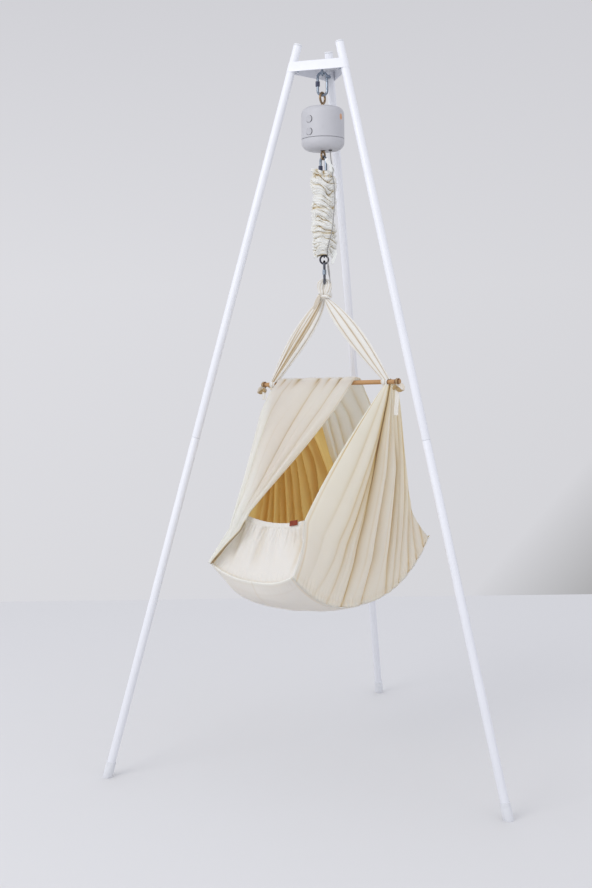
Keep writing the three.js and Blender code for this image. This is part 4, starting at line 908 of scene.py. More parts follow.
def make_output():
    """The output eye on its rod. The rod's rack is flat sided teeth behind it."""
    ring = hung(ring_grid(0.010, EYE_WIRE, OUTPUT_EYE, EYE_TURN))
    top = OUTPUT_EYE + 0.010
    rod = hung(
        lathe(
            softened(
                [
                    (0, top - 0.002), (0.004, top - 0.0015), (0.005, top + 0.001), (0.005, top + 0.092),
                    (0, top + 0.092)
                ],
                0.0008
            ),
            40
        )
    )
    piece("output_eye", [ring, rod, rack_grid()], YELLOW_ZINC, "output", ["output_rod"])


def rack_grid():
    """Eight teeth as one strip: the depth steps between root and tip along the height, carried 6 mm
    wide."""
    pitch, width = np.pi * 0.0015, 0.003
    root, tip = 0.0050, 0.0076
    first = HOUSING_TOP - 0.064 - 2 * pitch
    teeth = first + pitch * np.arange(8)[:, None]
    heights = (teeth + pitch * np.array([-0.31, -0.11, 0.11, 0.31])).ravel()
    depths = np.tile([root, tip, tip, root], 8)
    heights = np.concatenate([heights[:1], heights, heights[-1:]])
    depths = np.concatenate([[0], depths, [0]])
    x = np.array([0, -width, width, 0, 0])[None]
    inside = np.array([0, 1, 1, 0, 0])[None]
    return hung(stacked(x, depths[:, None] * inside, heights[:, None]))


make_housing()
make_buttons()
make_lens()
make_top_eye()
make_inlet()
make_low_fittings()
make_output()


# The spring and its cover


def make_spring():
    """A wire wound down in eleven turns: (r cos 22 pi s, r sin 22 pi s, h), whose radius shrinks to the
    axis at both ends, with a round hook at each end."""
    s = np.linspace(0, 1, 700)
    reach = np.minimum(ease(s, 0, 0.05), 1 - ease(s, 0.95, 1))
    angle = TURN * 11 * s
    path = around(0.012 * reach, angle, mix(TOP_HOOK - 0.009, LOW_HOOK + 0.009, s))
    coil = hung(capped(along_path(path, round_section(0.002, 10), [0, 0, 1.0])))
    hooks = [
        hung(ring_grid(0.009, 0.002, TOP_HOOK, np.radians(35))),
        hung(ring_grid(0.009, 0.002, LOW_HOOK, np.radians(90)))
    ]
    item = piece("tension_coil", [coil, *hooks], DARK_STEEL, "output", ["tension_spring"])
    stretch(item)


COVER_SHARES = np.array(
    [0.70, 0.96, 1.05, 0.90, 1.07, 1.0, 0.84, 1.03, 1.06, 1.0, 0.84, 1.05, 1.07, 0.98, 0.72]
)


def cover_folds(share, angle):
    """The gathered tube's radius and its creases. Two families of crinkles run round it, each where the sine
    of a wavering height is near zero, and the second leans. Crests are round and creases narrow. The mask is
    painted shade in the creases and under the ties."""
    slow = np.interp(share, np.linspace(0, 1, len(COVER_SHARES)), COVER_SHARES)
    waver = (
        0.42 * np.sin(angle + 1.0) + 0.30 * np.sin(2 * angle + 5 * share)
        + 0.16 * np.sin(5 * angle + 9 * share)
    )
    lean = 0.9 * np.sin(angle + 4.0 + 2 * share) + 0.2 * np.sin(3 * angle)
    first = 1 - np.abs(np.sin(np.pi * (9.5 * share + 0.5 * np.sin(5 * share) + waver)))
    second = 1 - np.abs(np.sin(np.pi * (14 * share - 1.2 * lean + 0.4 * waver)))
    fine = 1 - np.abs(np.sin(np.pi * (33 * share + 2.6 * waver + 0.5 * np.sin(4 * angle))))
    strong = 0.55 + 0.45 * np.sin(2 * angle + 13 * share)
    weak = 0.5 - 0.5 * np.sin(3 * angle - 8 * share + 1)
    ties = bell(share, 0.56, 0.014) + 0.8 * bell(share, 0.26, 0.014)
    reach = ease(share, 0.0, 0.05) * (1 - ease(share, 0.96, 1))
    dent = 0.0088 * strong * first**2.2 + 0.0075 * weak * second**2.6 + 0.0014 * fine + 0.0040 * ties
    lumps = 0.0020 * np.sin(3 * angle + 11 * share) + 0.0015 * np.sin(7 * angle - 17 * share)
    mask = 1.35 * strong * first**9 + 0.8 * weak * second**8 + 0.22 * fine**4 + 0.65 * ties * strong
    return 0.0305 * slow - reach * dent + lumps + 0.003, reach * mask


def make_cover():
    """The crinkled cloth tube round the spring: an outer skin that folds in at both mouths, rests on
    the coil and frills out in a ruffle above its upper tie. Its drawstring ends hang from both
    mouths."""
    top, low = TOP_HOOK + 0.025, LOW_HOOK - 0.005
    share = np.linspace(0, 1, 330)[:, None]
    angle = np.linspace(0, TURN, 161)[None]
    radius, mask = cover_folds(share, angle)
    ruffle = 0.0042 * np.sin(8 * angle + 2 * np.sin(angle)) + 0.0022 * np.sin(13 * angle)
    neck = bell(share, 0.935, 0.02)
    radius = (
        radius + ruffle * ease(share, 0.92, 1) + 0.0016 * np.sin(9 * angle) * (1 - ease(share, 0, 0.06))
        - 0.006 * neck
    )
    # Painted shade round the neck under the upper tie and in the ruffle's hollows.
    mask = (
        mask + 0.55 * neck * (0.5 + 0.5 * np.sin(16 * angle))
        + 0.5 * ease(share, 0.94, 1) * np.clip(-ruffle / 0.004, 0, 1)
    )
    height = mix(low, top, share) + 0.005 * np.sin(2 * angle + 1) * ease(share, 0.85, 1)
    height = height - 0.005 * np.sin(angle * 2 + 2) * (1 - ease(share, 0, 0.15))
    outer = around(radius, angle, height)
    depth = np.linspace(0, 1, 16)[:, None]
    mouth, coil_side, foot = 0.0195, 0.0152, 0.017
    inner_radius = np.where(depth < 0.35, mouth, mix(mouth, coil_side, ease(depth, 0.35, 0.6)))
    inner_top = around(inner_radius, angle, mix(top - 0.002, top - 0.06, depth))
    foot_radius = mix(coil_side, foot, ease(depth, 0.5, 1))
    inner_low = around(foot_radius, angle, mix(top - 0.06, low + 0.002, depth))
    inside = np.concatenate([inner_top, inner_low])
    whole = np.concatenate([outer, inside, outer[:1]])
    # The tube's inside is all painted shade.
    painted_shade = np.concatenate([mask + 0 * radius, 0.8 + 0 * inside[..., 0], mask[:1] + 0 * radius[:1]])
    ends = [
        drawstring(TOP_HOOK + 0.018, 0.022, -0.022, 0.036, 0.45),
        drawstring(LOW_HOOK + 0.008, 0.024, -0.014, -0.036, -0.1)
    ]
    painted_shade = np.concatenate([painted_shade.ravel(), np.zeros(sum(e.shape[0] * e.shape[1] for e in ends))])
    item = piece("gathered_cover", [hung(whole), *(hung(e) for e in ends)], COTTON, "output",
                 ["spring_cover"], sharp=60, painted_shade=painted_shade)
    stretch(item)


def drawstring(height, right, front, rise, back):
    """A twisted end of the cover's drawstring, 12 mm wide, from the mouth outwards and up or down."""
    t = np.linspace(0, 1, 24)
    path = stacked(right * (1 + 0.15 * np.sin(5 * t) - back * t), front * (1 + 0.2 * t), height + rise * t)
    width = 0.0062 * (1 - 0.6 * t**3) * (1 + 0.25 * np.sin(9 * t))
    angle = np.linspace(0, TURN, 13)
    section = np.stack([width[:, None] * np.cos(angle), 0.0012 * np.sin(angle) + 0 * width[:, None]], -1)
    return capped(along_path(path, section, [0.3, 1.0, 0]))


make_spring()
make_cover()


# The cloth cradle's form, in the cradle's own frame

BAR_RADIUS, BAR_HALF, BAR_SHIFT, BAR_TILT = 0.006, 0.228, 0.009, np.radians(1.73)
CLOTH, BELLY_CLOTH, CLOTH_SEAT = 0.003, 0.004, 0.0012
BASE_HALF_WIDTH, BASE_HALF_LENGTH, LOW_DROP, SEAM_DROP = 0.130, 0.346, 0.455, 0.593
END_DEPTH, MIDDLE_DEPTH = 0.032, 0.018
RIM_HALF_WIDTH, RIM_HALF_LENGTH, RIM_DROP, RIM_DIP = 0.110, 0.250, 0.345, 0.014
FAN_INNER, FAN_OUTER, FAN_HALF_DEPTH = 0.185, 0.214, 0.008
# How thick each cloth is here
PANEL_WALL, BELLY_WALL, END_WALL = 0.0024, 0.0036, 0.003
# How far across and along the belly the panels stand on it, and how deep a side panel reaches into it
SEAT_SHARE, SEAT_EDGE, SEAT_DIP = 0.985, 0.992, -0.0022
LOW_CORNERS = {
    (-1, -1): (-1, -0.997, 0.988), (1, -1): (1, -0.977, 1.016),
    (-1, 1): (-0.96, 1.012, 0.997), (1, 1): (0.93, 1.02, 1.008),
}
RIM_CORNERS = {
    (-1, -1): (-1, -0.856, 0.996), (1, -1): (1, -1.016, 0.967),
    (-1, 1): (-1, 1.04, 1.025), (1, 1): (1, 1.06, 1.062),
}
BORDER_BOWS = {
    (-1, -1): (0, 0, -0.032), (1, -1): (0, 0.012, 0.112), (-1, 1): (0.3, 0.32, 0), (1, 1): (0, 0.048, 0)
}


def bar_rise(along):
    """How high the tilted bar's axis is at a place along it."""
    return along * np.tan(BAR_TILT)


def on_bar(side, place):
    """A place on the bar, at a distance from its middle to the left or right."""
    return BAR_SHIFT + side * place


def along_bar(points, place):
    """Points with X along the bar, tilted with it and moved to a place along it."""
    cos, sin = np.cos(BAR_TILT), np.sin(BAR_TILT)
    x, y, z = points[..., 0], points[..., 1], points[..., 2]
    return np.stack([x * cos - z * sin + place, y, x * sin + z * cos + bar_rise(place)], -1)


def low_corner(side, end):
    """Where a side panel's border meets the belly's corner."""
    return np.array(LOW_CORNERS[side, end]) * [BASE_HALF_WIDTH, BASE_HALF_LENGTH, -LOW_DROP]


def rim_corner(side, end):
    """Where a side panel's border has the rim's corner."""
    return np.array(RIM_CORNERS[side, end]) * [RIM_HALF_WIDTH, RIM_HALF_LENGTH, -RIM_DROP]


def seam(side, along):
    """The line from the foot's low corner to the head's, sunk by 1 - |t|^2.5 to the seam's lowest point."""
    point = mix(low_corner(side, -1), low_corner(side, 1), ((along + 1) / 2)[..., None])
    point[..., 2] -= (SEAM_DROP + point[..., 2]) * (1 - np.abs(along) ** 2.5)
    return point


def belly(across, along):
    """The straight line from seam to seam, sunk by 1 - |t|^2.4 across, and swelling out below the end
    seams by 6.75 x (1 - x)^2, where x grows to 1 from an end over 0.55 of the belly's half length."""
    point = mix(seam(-1, along), seam(1, along), ((across + 1) / 2)[..., None])
    inset = np.clip((1 - np.abs(along)) / 0.55, 0, 1)
    lip = 6.75 * inset * (1 - inset) ** 2
    sag = mix(MIDDLE_DEPTH, END_DEPTH, along**2) * (1 - np.abs(across) ** 2.4)
    point[..., 2] -= sag + 0.013 * lip * (1 - np.abs(across) ** 5)
    point[..., 1] += np.sign(along) * 0.008 * lip * (1 - across**4)
    return point


def belly_up(across, along):
    """The belly's unit normal, as the cross product of small steps over its surface."""
    step = 0.01
    along_way = belly(across, along + step) - belly(across, along - step)
    across_way = belly(across + step, along) - belly(across - step, along)
    return unit(np.cross(across_way, along_way))


def on_belly(across, along, lift):
    """A point over the belly's middle surface: half its cloth, a clearance and a lift along the normal."""
    across, along = np.broadcast_arrays(np.asarray(across, float), np.asarray(along, float))
    lifted = np.asarray(BELLY_CLOTH / 2 + GAP + lift)[..., None]
    return belly(across, along) + belly_up(across, along) * lifted


def rim_share_of(side, end):
    """How far down a border its rim corner lies."""
    place = on_bar(side, FAN_INNER if end < 0 else FAN_OUTER)
    top = bar_rise(place) - (BAR_RADIUS + CLOTH * np.tan(BAR_TILT) + GAP)
    low = on_belly(side * SEAT_SHARE, end * SEAT_SHARE, CLOTH_SEAT)[2]
    return (rim_corner(side, end)[2] - top) / (low - top)


def border(side, end, share):
    """A side panel's border: a straight line from the bar to the low corner, pulled out by a quarter
    sine to the rim's corner and back by a quarter cosine, and bowed by half sines above and below
    it."""
    share = np.asarray(share, float)
    place = on_bar(side, FAN_INNER if end < 0 else FAN_OUTER)
    under = BAR_RADIUS + CLOTH * np.tan(BAR_TILT) + GAP
    top = np.array([place, end * FAN_HALF_DEPTH, bar_rise(place) - under])
    low = on_belly(side * SEAT_EDGE, end * SEAT_SHARE, SEAT_DIP)
    corner = rim_corner(side, end)
    rim_share = (corner[2] - top[2]) / (low[2] - top[2])
    pull = corner - mix(top, low, rim_share)
    above = np.minimum(share / rim_share, 1)
    below = np.maximum((share - rim_share) / (1 - rim_share), 0)
    reach = np.where(share < rim_share, np.sin(np.pi / 2 * above), np.cos(np.pi / 2 * below))
    point = mix(top, low, share[..., None]) + pull * reach[..., None]
    inward, outward, low_inward = BORDER_BOWS[side, end]
    bow = np.sin(np.pi * above**0.8)
    point[..., 0] -= side * RIM_HALF_WIDTH * inward * bow
    point[..., 1] += end * RIM_HALF_LENGTH * (outward * bow - low_inward * np.sin(np.pi * below))
    return point


FOLD_SHARES = [0, 0.2, 0.4, 0.6, 0.8, 1.0]
RIGHT_VALLEYS = [
    [0.20, 0.19, 0.17, 0.14, 0.10, 0.06], [0.36, 0.355, 0.293, 0.255, 0.20, 0.12],
    [0.405, 0.395, 0.37, 0.328, 0.275, 0.21],
    [0.455, 0.43, 0.434, 0.412, 0.378, 0.315], [0.60, 0.64, 0.622, 0.565, 0.535, 0.455],
    [0.70, 0.74, 0.81, 0.76, 0.705, 0.645], [0.85, 0.88, 0.88, 0.83, 0.79, 0.695],
    [0.96, 0.985, 0.99, 0.955, 0.865, 0.745],
    [1.03, 1.04, 1.05, 1.03, 0.95, 0.83], [1.1, 1.1, 1.1, 1.1, 1.0, 0.90], [1.2, 1.2, 1.2, 1.2, 1.06, 0.96],
]
RIGHT_SHADE = [
    (0.15, 0.2, 0.5), (0.25, 0.4, 0.5), (0.55, 0.52, 0.36), (1.35, 0.15, 0.75), (0.6, 0.62, 0.42),
    (0.66, 0.58, 0.45), (0.68, 0.45, 0.48), (0.46, 0.62, 0.45), (0.38, 0.8, 0.5), (0.3, 0.8, 0.5),
    (0.3, 0.9, 0.5),
]
WANDER = 0.012 * np.sin(np.outer(np.arange(12), [1.7, 2.1, 2.6, 3.0, 3.3, 3.5]))
LEFT_VALLEYS = np.linspace(0.13, 1.06, 12)[:, None] - 0.03 * np.array(FOLD_SHARES) + WANDER
LEFT_SHADE = [(0.20 + 8 * row[0], 0.6, 1.2) for row in WANDER]
FOLD_SIZES = {
    1: [0.004, 0.005, 0.004, 0.008, 0.024, 0.022, 0.015, 0.014],
    -1: [0.006, 0.016, 0.018, 0.014, 0.018, 0.016]
}


def fan_folds(side, share, place):
    """The depth of the folds that run from the gathered top to the seam, and their painted shade mask. A
    fold's phase is whole at each listed valley and grows evenly between two of them. Its depth is the 0.8th
    power of |sin(pi phase)|. The mask paints shade along the valleys, over the pleated part past the lead
    fold, and as a line along the hem."""
    valleys = RIGHT_VALLEYS if side > 0 else LEFT_VALLEYS
    shades = RIGHT_SHADE if side > 0 else LEFT_SHADE
    at = [0 * share] + [np.interp(share, FOLD_SHARES, row) for row in valleys]
    phase = sum(np.clip((place - low) / (high - low), 0, 1) for low, high in zip(at[:-1], at[1:]))
    wave = np.abs(np.sin(np.pi * phase))
    sizes = FOLD_SIZES[side]
    size = np.interp(phase, np.arange(len(sizes)) + 0.5, sizes)
    wide, lines = mix(0.090, 0.018, share**0.5), 0
    for middle, (strength, peak, run) in zip(at[1:], shades):
        off = (place - middle) / wide + 0.25
        dark = strength * bell(share, peak, run)
        lines = lines + dark * (0.40 * np.exp(-(off**2)) + 1.05 * np.exp(-(9 * off**2)))
    lead = 4 if side > 0 else 1
    band = ease(phase, 0.4 * lead, lead + 0.05)
    second = np.abs(np.sin(np.pi * (2.6 * phase + 0.3 + 0.5 * np.sin(2 * phase))))
    reach = (
        ease(share, 0.0, 0.10) * (0.30 + 0.70 * ease(share, 0.08, 0.42))
        * (1 - 0.66 * ease(share, 0.74, 1.0))
    )
    depth = size * wave**0.8 + 0.0030 * second * ease(share, 0.3, 0.8) * band - 0.011 * band
    depth = depth + 0.006 * np.sin(np.pi * np.clip(phase / lead, 0, 1))
    edge = ease(place, 0.0, 0.03) * (1 - 0.85 * ease(place, 0.95, 1.0))
    mask = (
        lines
        + (0.16 * (1 - second) ** 4 + 0.02 + 0.09 * (1 - wave)) * band * (1 - 0.6 * ease(share, 0.76, 0.98))
    )
    # A painted shade line along the hem.
    hem_shade = bell(place, 0.016, 0.0035) * (1 - 0.7 * ease(share, 0.25, 0.6))
    return depth * reach * edge, mask + 0.75 * hem_shade


def side_panel(side, share, place, folded=True):
    """A side panel: straight lines from the bar to the seam, drawn by the foot border's and the head
    border's pull, which fade with the cube of the way to the other border, and then folded outwards."""
    share, place = np.broadcast_arrays(share, place)
    foot, head = border(side, -1, share), border(side, 1, share)
    ends = [border(side, end, np.array([0.0, 1.0])) for end in (-1, 1)]
    low = on_belly(side * SEAT_EDGE, mix(-SEAT_SHARE, SEAT_SHARE, place), SEAT_DIP)
    top = mix(ends[0][0], ends[1][0], place[..., None])
    point = mix(top, low, share[..., None])
    foot_pull = foot - mix(ends[0][0], ends[0][1], share[..., None])
    head_pull = head - mix(ends[1][0], ends[1][1], share[..., None])
    point = point + foot_pull * ((1 - place) ** 3)[..., None] + head_pull * (place**3)[..., None]
    if folded:
        point[..., 0] += side * fan_folds(side, share, place)[0]
        pucker = 0.0011 * np.sin(TURN * 52 * place) * ease(share, 0.93, 0.985) * ease(place, 0.02, 0.06)
        point[..., 0] += side * pucker * (1 - ease(place, 0.94, 0.98))
    return point


def end_panel(end, share, across):
    """The low panel across an end: from the belly's edge to the rim, which dips by a parabola."""
    share, across = np.broadcast_arrays(np.asarray(share, float), np.asarray(across, float))
    edges = []
    for side in (-1, 1):
        edges.append(border(side, end, mix(1, rim_share_of(side, end), share)))
    blend = ((across + 1) / 2)[..., None]
    point = mix(*edges, blend)
    foot = on_belly(across * SEAT_SHARE, end * SEAT_EDGE, 0)
    corners = [on_belly(side * SEAT_SHARE, end * SEAT_EDGE, 0) for side in (-1, 1)]
    point = point + (foot - mix(*corners, blend)) * (1 - share)[..., None]
    point[..., 2] -= RIM_DIP * share * (1 - across**2)
    return point


# The pieces of the cloth cradle


def outward(grid, way):
    """The grid's unit normals, on the side of the given direction."""
    normal = unit(np.cross(np.gradient(grid, axis=0), np.gradient(grid, axis=1)))
    return normal * np.sign((normal * way).sum(-1, keepdims=True).mean())


def make_bar():
    """The beech bar: a turned rod with eased ends and two fine grooves near each end, with painted shade in
    the grooves.
    """
    half, radius = BAR_HALF, BAR_RADIUS
    profile = [(0, -half), (radius - 0.0004, -half), (radius, -half + 0.0003)]
    grooves = [-half + 0.0026, -half + 0.0135, half - 0.0135, half - 0.0026]
    for place in grooves:
        profile += [(radius, place - 0.0022), (radius, place - 0.0008), (radius - 0.0007, place),
                    (radius, place + 0.0008), (radius, place + 0.0022)]
    profile += [(radius, half - 0.0003), (radius - 0.0004, half), (0, half)]
    grid = lathe(profile, 40)
    x, y, z = grid[..., 0], grid[..., 1], grid[..., 2]
    # Painted shade in each groove.
    dark = sum(bell(z, place, 0.0011) for place in grooves)
    laid = along_bar(stacked(z, y, -x), BAR_SHIFT)
    piece("beech_bar", cradled(laid), BEECH, "cradle", ["spreader_bar"], painted_shade=0.9 * dark)


def sheet_piece(name, grid, finishes, node, thickness, painted_shade=None):
    """A sewn panel, whose grid's first finish is on its outer side."""
    item = piece(name, cradled(grid), finishes, "cradle", [node], closed=False, sharp=80, painted_shade=painted_shade)
    woven(item, thickness)


def make_side_panels():
    """The two fan panels. The right one's grid is turned round, so that its outer side comes first."""
    share = np.linspace(0, 1, 100)[:, None]
    place = np.linspace(0, 1, 440)[None]
    for name, side in (("left", -1), ("right", 1)):
        grid = side_panel(side, share, place)
        # The mask is the folds' painted shade, with a dotted darker stitch row along the seam above the
        # belly.
        stitches = bell(share, 0.975, 0.004) * np.abs(np.sin(TURN * 60 * place))
        mask = fan_folds(side, share, place)[1] + 0.25 * stitches
        if side > 0:
            grid, mask = grid[:, ::-1], mask[:, ::-1]
        sheet_piece(f"fan_panel_{name}", grid, [SIDE_COTTON, INSIDE_GLOW], f"side_panel_{name}", PANEL_WALL,
                    mask)


def make_belly():
    """The belly with soft sag wrinkles, and a welt 25 mm in from each end."""
    across = np.linspace(-1, 1, 90)[:, None]
    along = np.linspace(-1, 1, 240)[None]
    across, along = np.broadcast_arrays(across, along)
    grid = belly(across, along)
    rough = (
        waves(along, [(0.0008, 3.1, 0.3), (0.0006, 5.7, 2.0)])
        * waves(across, [(1.0, 0.6, 1.2), (0.5, 1.4, 0)])
    )
    inset = (1 - np.abs(along)) * BASE_HALF_LENGTH
    welt = bell(inset, 0.025, 0.003)
    pucker = np.sin(TURN * 14 * across) * bell(inset, 0.014, 0.012)
    edge = 1 - ease(np.abs(across), 0.93, 1.0)
    grid = grid - belly_up(across, along) * ((0.0007 * welt + rough + 0.0006 * pucker) * edge)[..., None]
    # Painted shade along the welts and near the ends, down the middle and along the side seams.
    mask = 0.03 * bell(inset, 0.029, 0.0022) + 0.06 * bell(inset, 0.006, 0.003)
    mask = mask + 0.14 * bell(across, 0.04, 0.012) + 0.25 * bell(np.abs(across), 0.975, 0.008)
    sheet_piece("belly_cloth", grid, [COTTON, INSIDE_GLOW], "cradle_belly", BELLY_WALL,
                mask)


TAG_PLACE, TAG_RISE = 0.075 / RIM_HALF_WIDTH, 0.95


def make_end_panels():
    """The foot and head panels: soft hollows that slant down from the rim's casing, puckers under the
    casing and over the seam, and a calm spot where the label is sewn on."""
    share = np.linspace(0, 1, 90)[:, None]
    across = np.linspace(-1, 1, 200)[None]
    for name, end in (("foot", -1), ("head", 1)):
        grid = end_panel(end, share, across)
        normal = outward(grid, np.array([0, end, 0.3]))
        slant = across * end * -1 - 0.55 * (1 - share) * (0.4 + across**2)
        fall = ease(share, 0.05, 0.5) * (1 - ease(share, 0.88, 0.93))
        wide = waves(slant, [(0.0034, 1.25, 0.6), (0.0026, 2.3, 2.1), (0.0013, 4.1, 0.4)])
        narrow = (
            waves(across + 0.1 * share, [(0.0013, 9.3, 0.2), (0.0009, 14.1, 1.1)]) * ease(share, 0.45, 0.88)
        )
        low = 0.0007 * waves(across, [(0.6, 13.0, 0.3), (0.4, 21.0, 1.9)]) * (1 - ease(share, 0.05, 0.25))
        casing = (
            0.0014 * ease(share, 0.905, 0.93) + 0.0009 * np.sin(TURN * 21 * across) * ease(share, 0.9, 0.94)
        )
        bulge = 0.012 * np.sin(np.pi * share**0.8) * (1 - across**2)
        calm = 1 - np.exp(-(((across - TAG_PLACE) / 0.16) ** 2) - ((share - TAG_RISE) / 0.12) ** 2)
        edge = 1 - ease(np.abs(across), 0.93, 1.0)
        lift = ((wide + narrow) * fall + low + casing) * calm + bulge
        grid = grid + normal * (lift * edge)[..., None]
        # The mask is painted shade: in the hollows, under the casing, in the fold near the right edge, along
        # the low seam and in the gap at the left edge.
        creases = 0.12 * np.clip(-(wide + narrow) / 0.004, 0, 1) * fall + 0.13 * bell(share, 0.905, 0.006)
        creases = creases + 0.22 * bell(across - 0.90, 0.05 * share, 0.05) * ease(share, 0.0, 0.3)
        seam_shade = 0.05 * bell(share, 0.035, 0.006) + 0.9 * bell(across, -0.985, 0.016)
        mask = (creases + seam_shade) * calm
        if end > 0:
            grid, mask = grid[:, ::-1], mask[:, ::-1]
        sheet_piece(f"{name}_end_cloth", grid, [END_COTTON, INSIDE_GLOW], f"{name}_panel", END_WALL,
                    mask)


def make_mattress():
    """The pad: its upper face rises from a thin edge by the square root of (1 - u^6)(1 - v^6), with
    tufts drawn in."""
    along = np.linspace(-1, 1, 90)[:, None]
    across = np.linspace(-1, 1, 60)[None]
    along, across = np.broadcast_arrays(along, across)
    wide, long = 0.84, 0.86
    crown = np.sqrt(np.maximum((1 - across**6) * (1 - along**6), 0))
    tufts = np.cos(np.pi * 3 * along) * np.cos(np.pi * 2 * across)
    lift = mix(0.003, 0.0275, crown) - 0.0022 * (1 - np.abs(tufts)) * crown
    under = on_belly(across * wide, along * long, 0.001 + 0 * across)
    over = on_belly(across * wide, along * long, lift)
    whole = np.concatenate([under, over[:, ::-1], under[:, :1]], 1)
    ends = [np.stack([whole[i, :60], whole[i, 60:120][::-1]]) for i in (0, -1)]
    item = piece(
        "mattress_pad", [cradled(whole), *(cradled(e) for e in ends)], LIT_INSIDE, "cradle", ["mattress"]
    )


make_bar()
make_side_panels()
make_belly()
make_end_panels()
make_mattress()


# The drape

# How far along its length the drape crosses the bar
BAR_SHARE = 0.44
DRAPE_SHARES = np.array([0, 0.14, 0.3, 0.425, 0.44, 0.455, 0.48, 0.53, 0.63, 0.72, 0.82, 0.91, 1])
DRAPE_LEFT = np.array([
    [-0.93, 1.0, 1.0], [-0.85, 0.6, 0.62], [-0.66, 0.26, 0.27], [-1.0, 0, 0], [-1.4, 0, 0],
    [-1.42, 0, 0], [-1.60, -0.06, 0.08], [-1.70, -0.17, 0.24], [-1.56, -0.4, 0.49], [-1.42, -0.63, 0.76],
    [-1.33, -0.83, 0.985], [-1.10, -1.05, 1.1], [-1.17, -1.38, 1.325],
])
DRAPE_RIGHT = np.array([
    [0.92, 1.02, 1.03], [1.0, 0.64, 0.68], [1.06, 0.27, 0.3], [1.0, 0, 0], [0.96, 0, 0],
    [0.9, 0, 0], [0.80, -0.057, 0.073], [0.6, -0.17, 0.22], [0.12, -0.4, 0.49], [-0.42, -0.63, 0.76],
    [-0.77, -0.88, 0.985], [-0.64, -1.12, 1.1], [-1.03, -1.41, 1.325],
])


def drape_edge(table, share):
    """A long edge of the drape, from shares of the rim's sizes between the listed lengths."""
    sizes = [RIM_HALF_WIDTH, RIM_HALF_LENGTH, -RIM_DROP]
    return np.stack([np.interp(share, DRAPE_SHARES, table[:, k]) * sizes[k] for k in range(3)], -1)


def drape_folds(share, across):
    """The depth of the long folds, of the scallops over the bar, and the painted shade mask: in their
    valleys, along one long edge, and between the back folds.
    """
    down = np.clip((share - 0.442) / 0.558, 0, 1)
    behind = np.clip((0.438 - share) / 0.438, 0, 1)
    reach = np.sin(np.pi * down) ** 0.5 * ease(across, 0.0, 0.05) * (1 - 0.5 * ease(across, 0.9, 1))
    phase = (
        3.6 * across**0.9 + 0.20 * np.sin(TURN * across + 1) + 0.45 * down * (1 - across)
        + 0.12 * np.sin(6 * down)
    )
    wave = np.abs(np.sin(np.pi * phase))
    minor = np.abs(np.sin(np.pi * (2.3 * phase + 0.4 * np.sin(5 * down))))
    size = 0.55 + 0.45 * np.sin(TURN * 1.3 * across - 0.6)
    back_wave = np.abs(np.sin(np.pi * (5.2 * across + 0.3 * np.sin(5 * across) + 0.2 * behind)))
    back = (
        0.010 * np.sin(np.pi * behind) ** 0.6 * back_wave**0.8 * ease(across, 0.0, 0.05)
        * (1 - ease(across, 0.95, 1))
    )
    fold = (0.0130 * (0.45 + 0.55 * size) * wave**0.75 + 0.0022 * minor) * reach + back
    over_bar = bell(share, BAR_SHARE, 0.022)
    scallop = np.abs(np.sin(np.pi * (5.5 * across + 0.3 + 0.25 * np.sin(9 * across))))
    ripple = 0.0060 * scallop**0.6 * over_bar
    mask = (
        (0.95 * (1 - wave) ** 14 + 0.13 * (1 - wave) ** 2) * (0.35 + 0.65 * size)
        * (0.35 + 0.65 * ease(across, 0.2, 0.45))
    )
    mask = mask + 0.10 * (1 - minor) ** 6 * ease(down, 0.1, 0.3)
    mask = mask * ease(down, 0.0, 0.03) * (1 - 0.4 * down) + 1.1 * (1 - scallop) ** 3 * over_bar
    # Painted shade along the long edge, darkest near its low end.
    mask = mask + 0.30 * bell(across, 0.985, 0.005) * ease(down, 0, 0.05)
    mask = mask + 1.2 * bell(across, 1, 0.035 + 0.06 * ease(down, 0.8, 1)) * ease(down, 0.72, 0.80)
    return fold, ripple, mask + 0.30 * (1 - back_wave) ** 2.5 * ease(behind, 0.02, 0.15)


def drape_surface(share, across):
    """Straight lines between the two long edges, bent over the bar on an arc, with pleats that stand
    outwards."""
    share, across = np.broadcast_arrays(share, across)
    point = mix(drape_edge(DRAPE_LEFT, share), drape_edge(DRAPE_RIGHT, share), across[..., None])
    bend = np.radians(55)
    over_bar = (BAR_RADIUS + 2 * GAP + CLOTH / 2) / np.cos(bend / 2)
    turn = bend * np.clip((share - BAR_SHARE) / 0.015, -1, 1)
    fold, ripple, _ = drape_folds(share, across)
    seat = np.where(share < BAR_SHARE, ease(share, 0, 0.425), 1)
    out = over_bar * seat + fold + ripple
    point[..., 1] -= out * np.sin(turn)
    near_bar = 1 - np.minimum(1, np.abs(point[..., 1]) / RIM_HALF_LENGTH)
    point[..., 2] += out * np.cos(turn) + bar_rise(point[..., 0]) * near_bar
    return point


def make_drape():
    """The drape, with closer grid lines where it bends over the bar."""
    share = np.concatenate(
        [np.linspace(0, 0.42, 40), np.linspace(0.424, 0.456, 22), np.linspace(0.462, 1, 110)]
    )[:, None]
    across = np.linspace(0, 1, 190)[None]
    grid = drape_surface(share, across)
    sheet_piece("diagonal_drape", grid[:, ::-1], [THIN_COTTON, LIT_INSIDE], "drape", PANEL_WALL,
                drape_folds(share, across)[2][:, ::-1])


make_drape()


# Loop, knot, strap bundles and bows

STRAP_TWIST = CRADLE_YAW - HANG_YAW
STRAP_PLACE, BOW_PLACE = 0.185, 0.221
KNOT_TOP = LOW_WIRE - 0.034 + 0.007
KNOT_LOW = KNOT_TOP - 0.014
LOOP_END = KNOT_LOW + 0.007


def pleated(angle, lobes, depth, start=0.0):
    """A round section's radius with rounded pleats: 1 minus depth times a narrow valley."""
    return 1 - depth * (1 - np.abs(np.sin(lobes / 2 * angle + start)) ** 0.8)


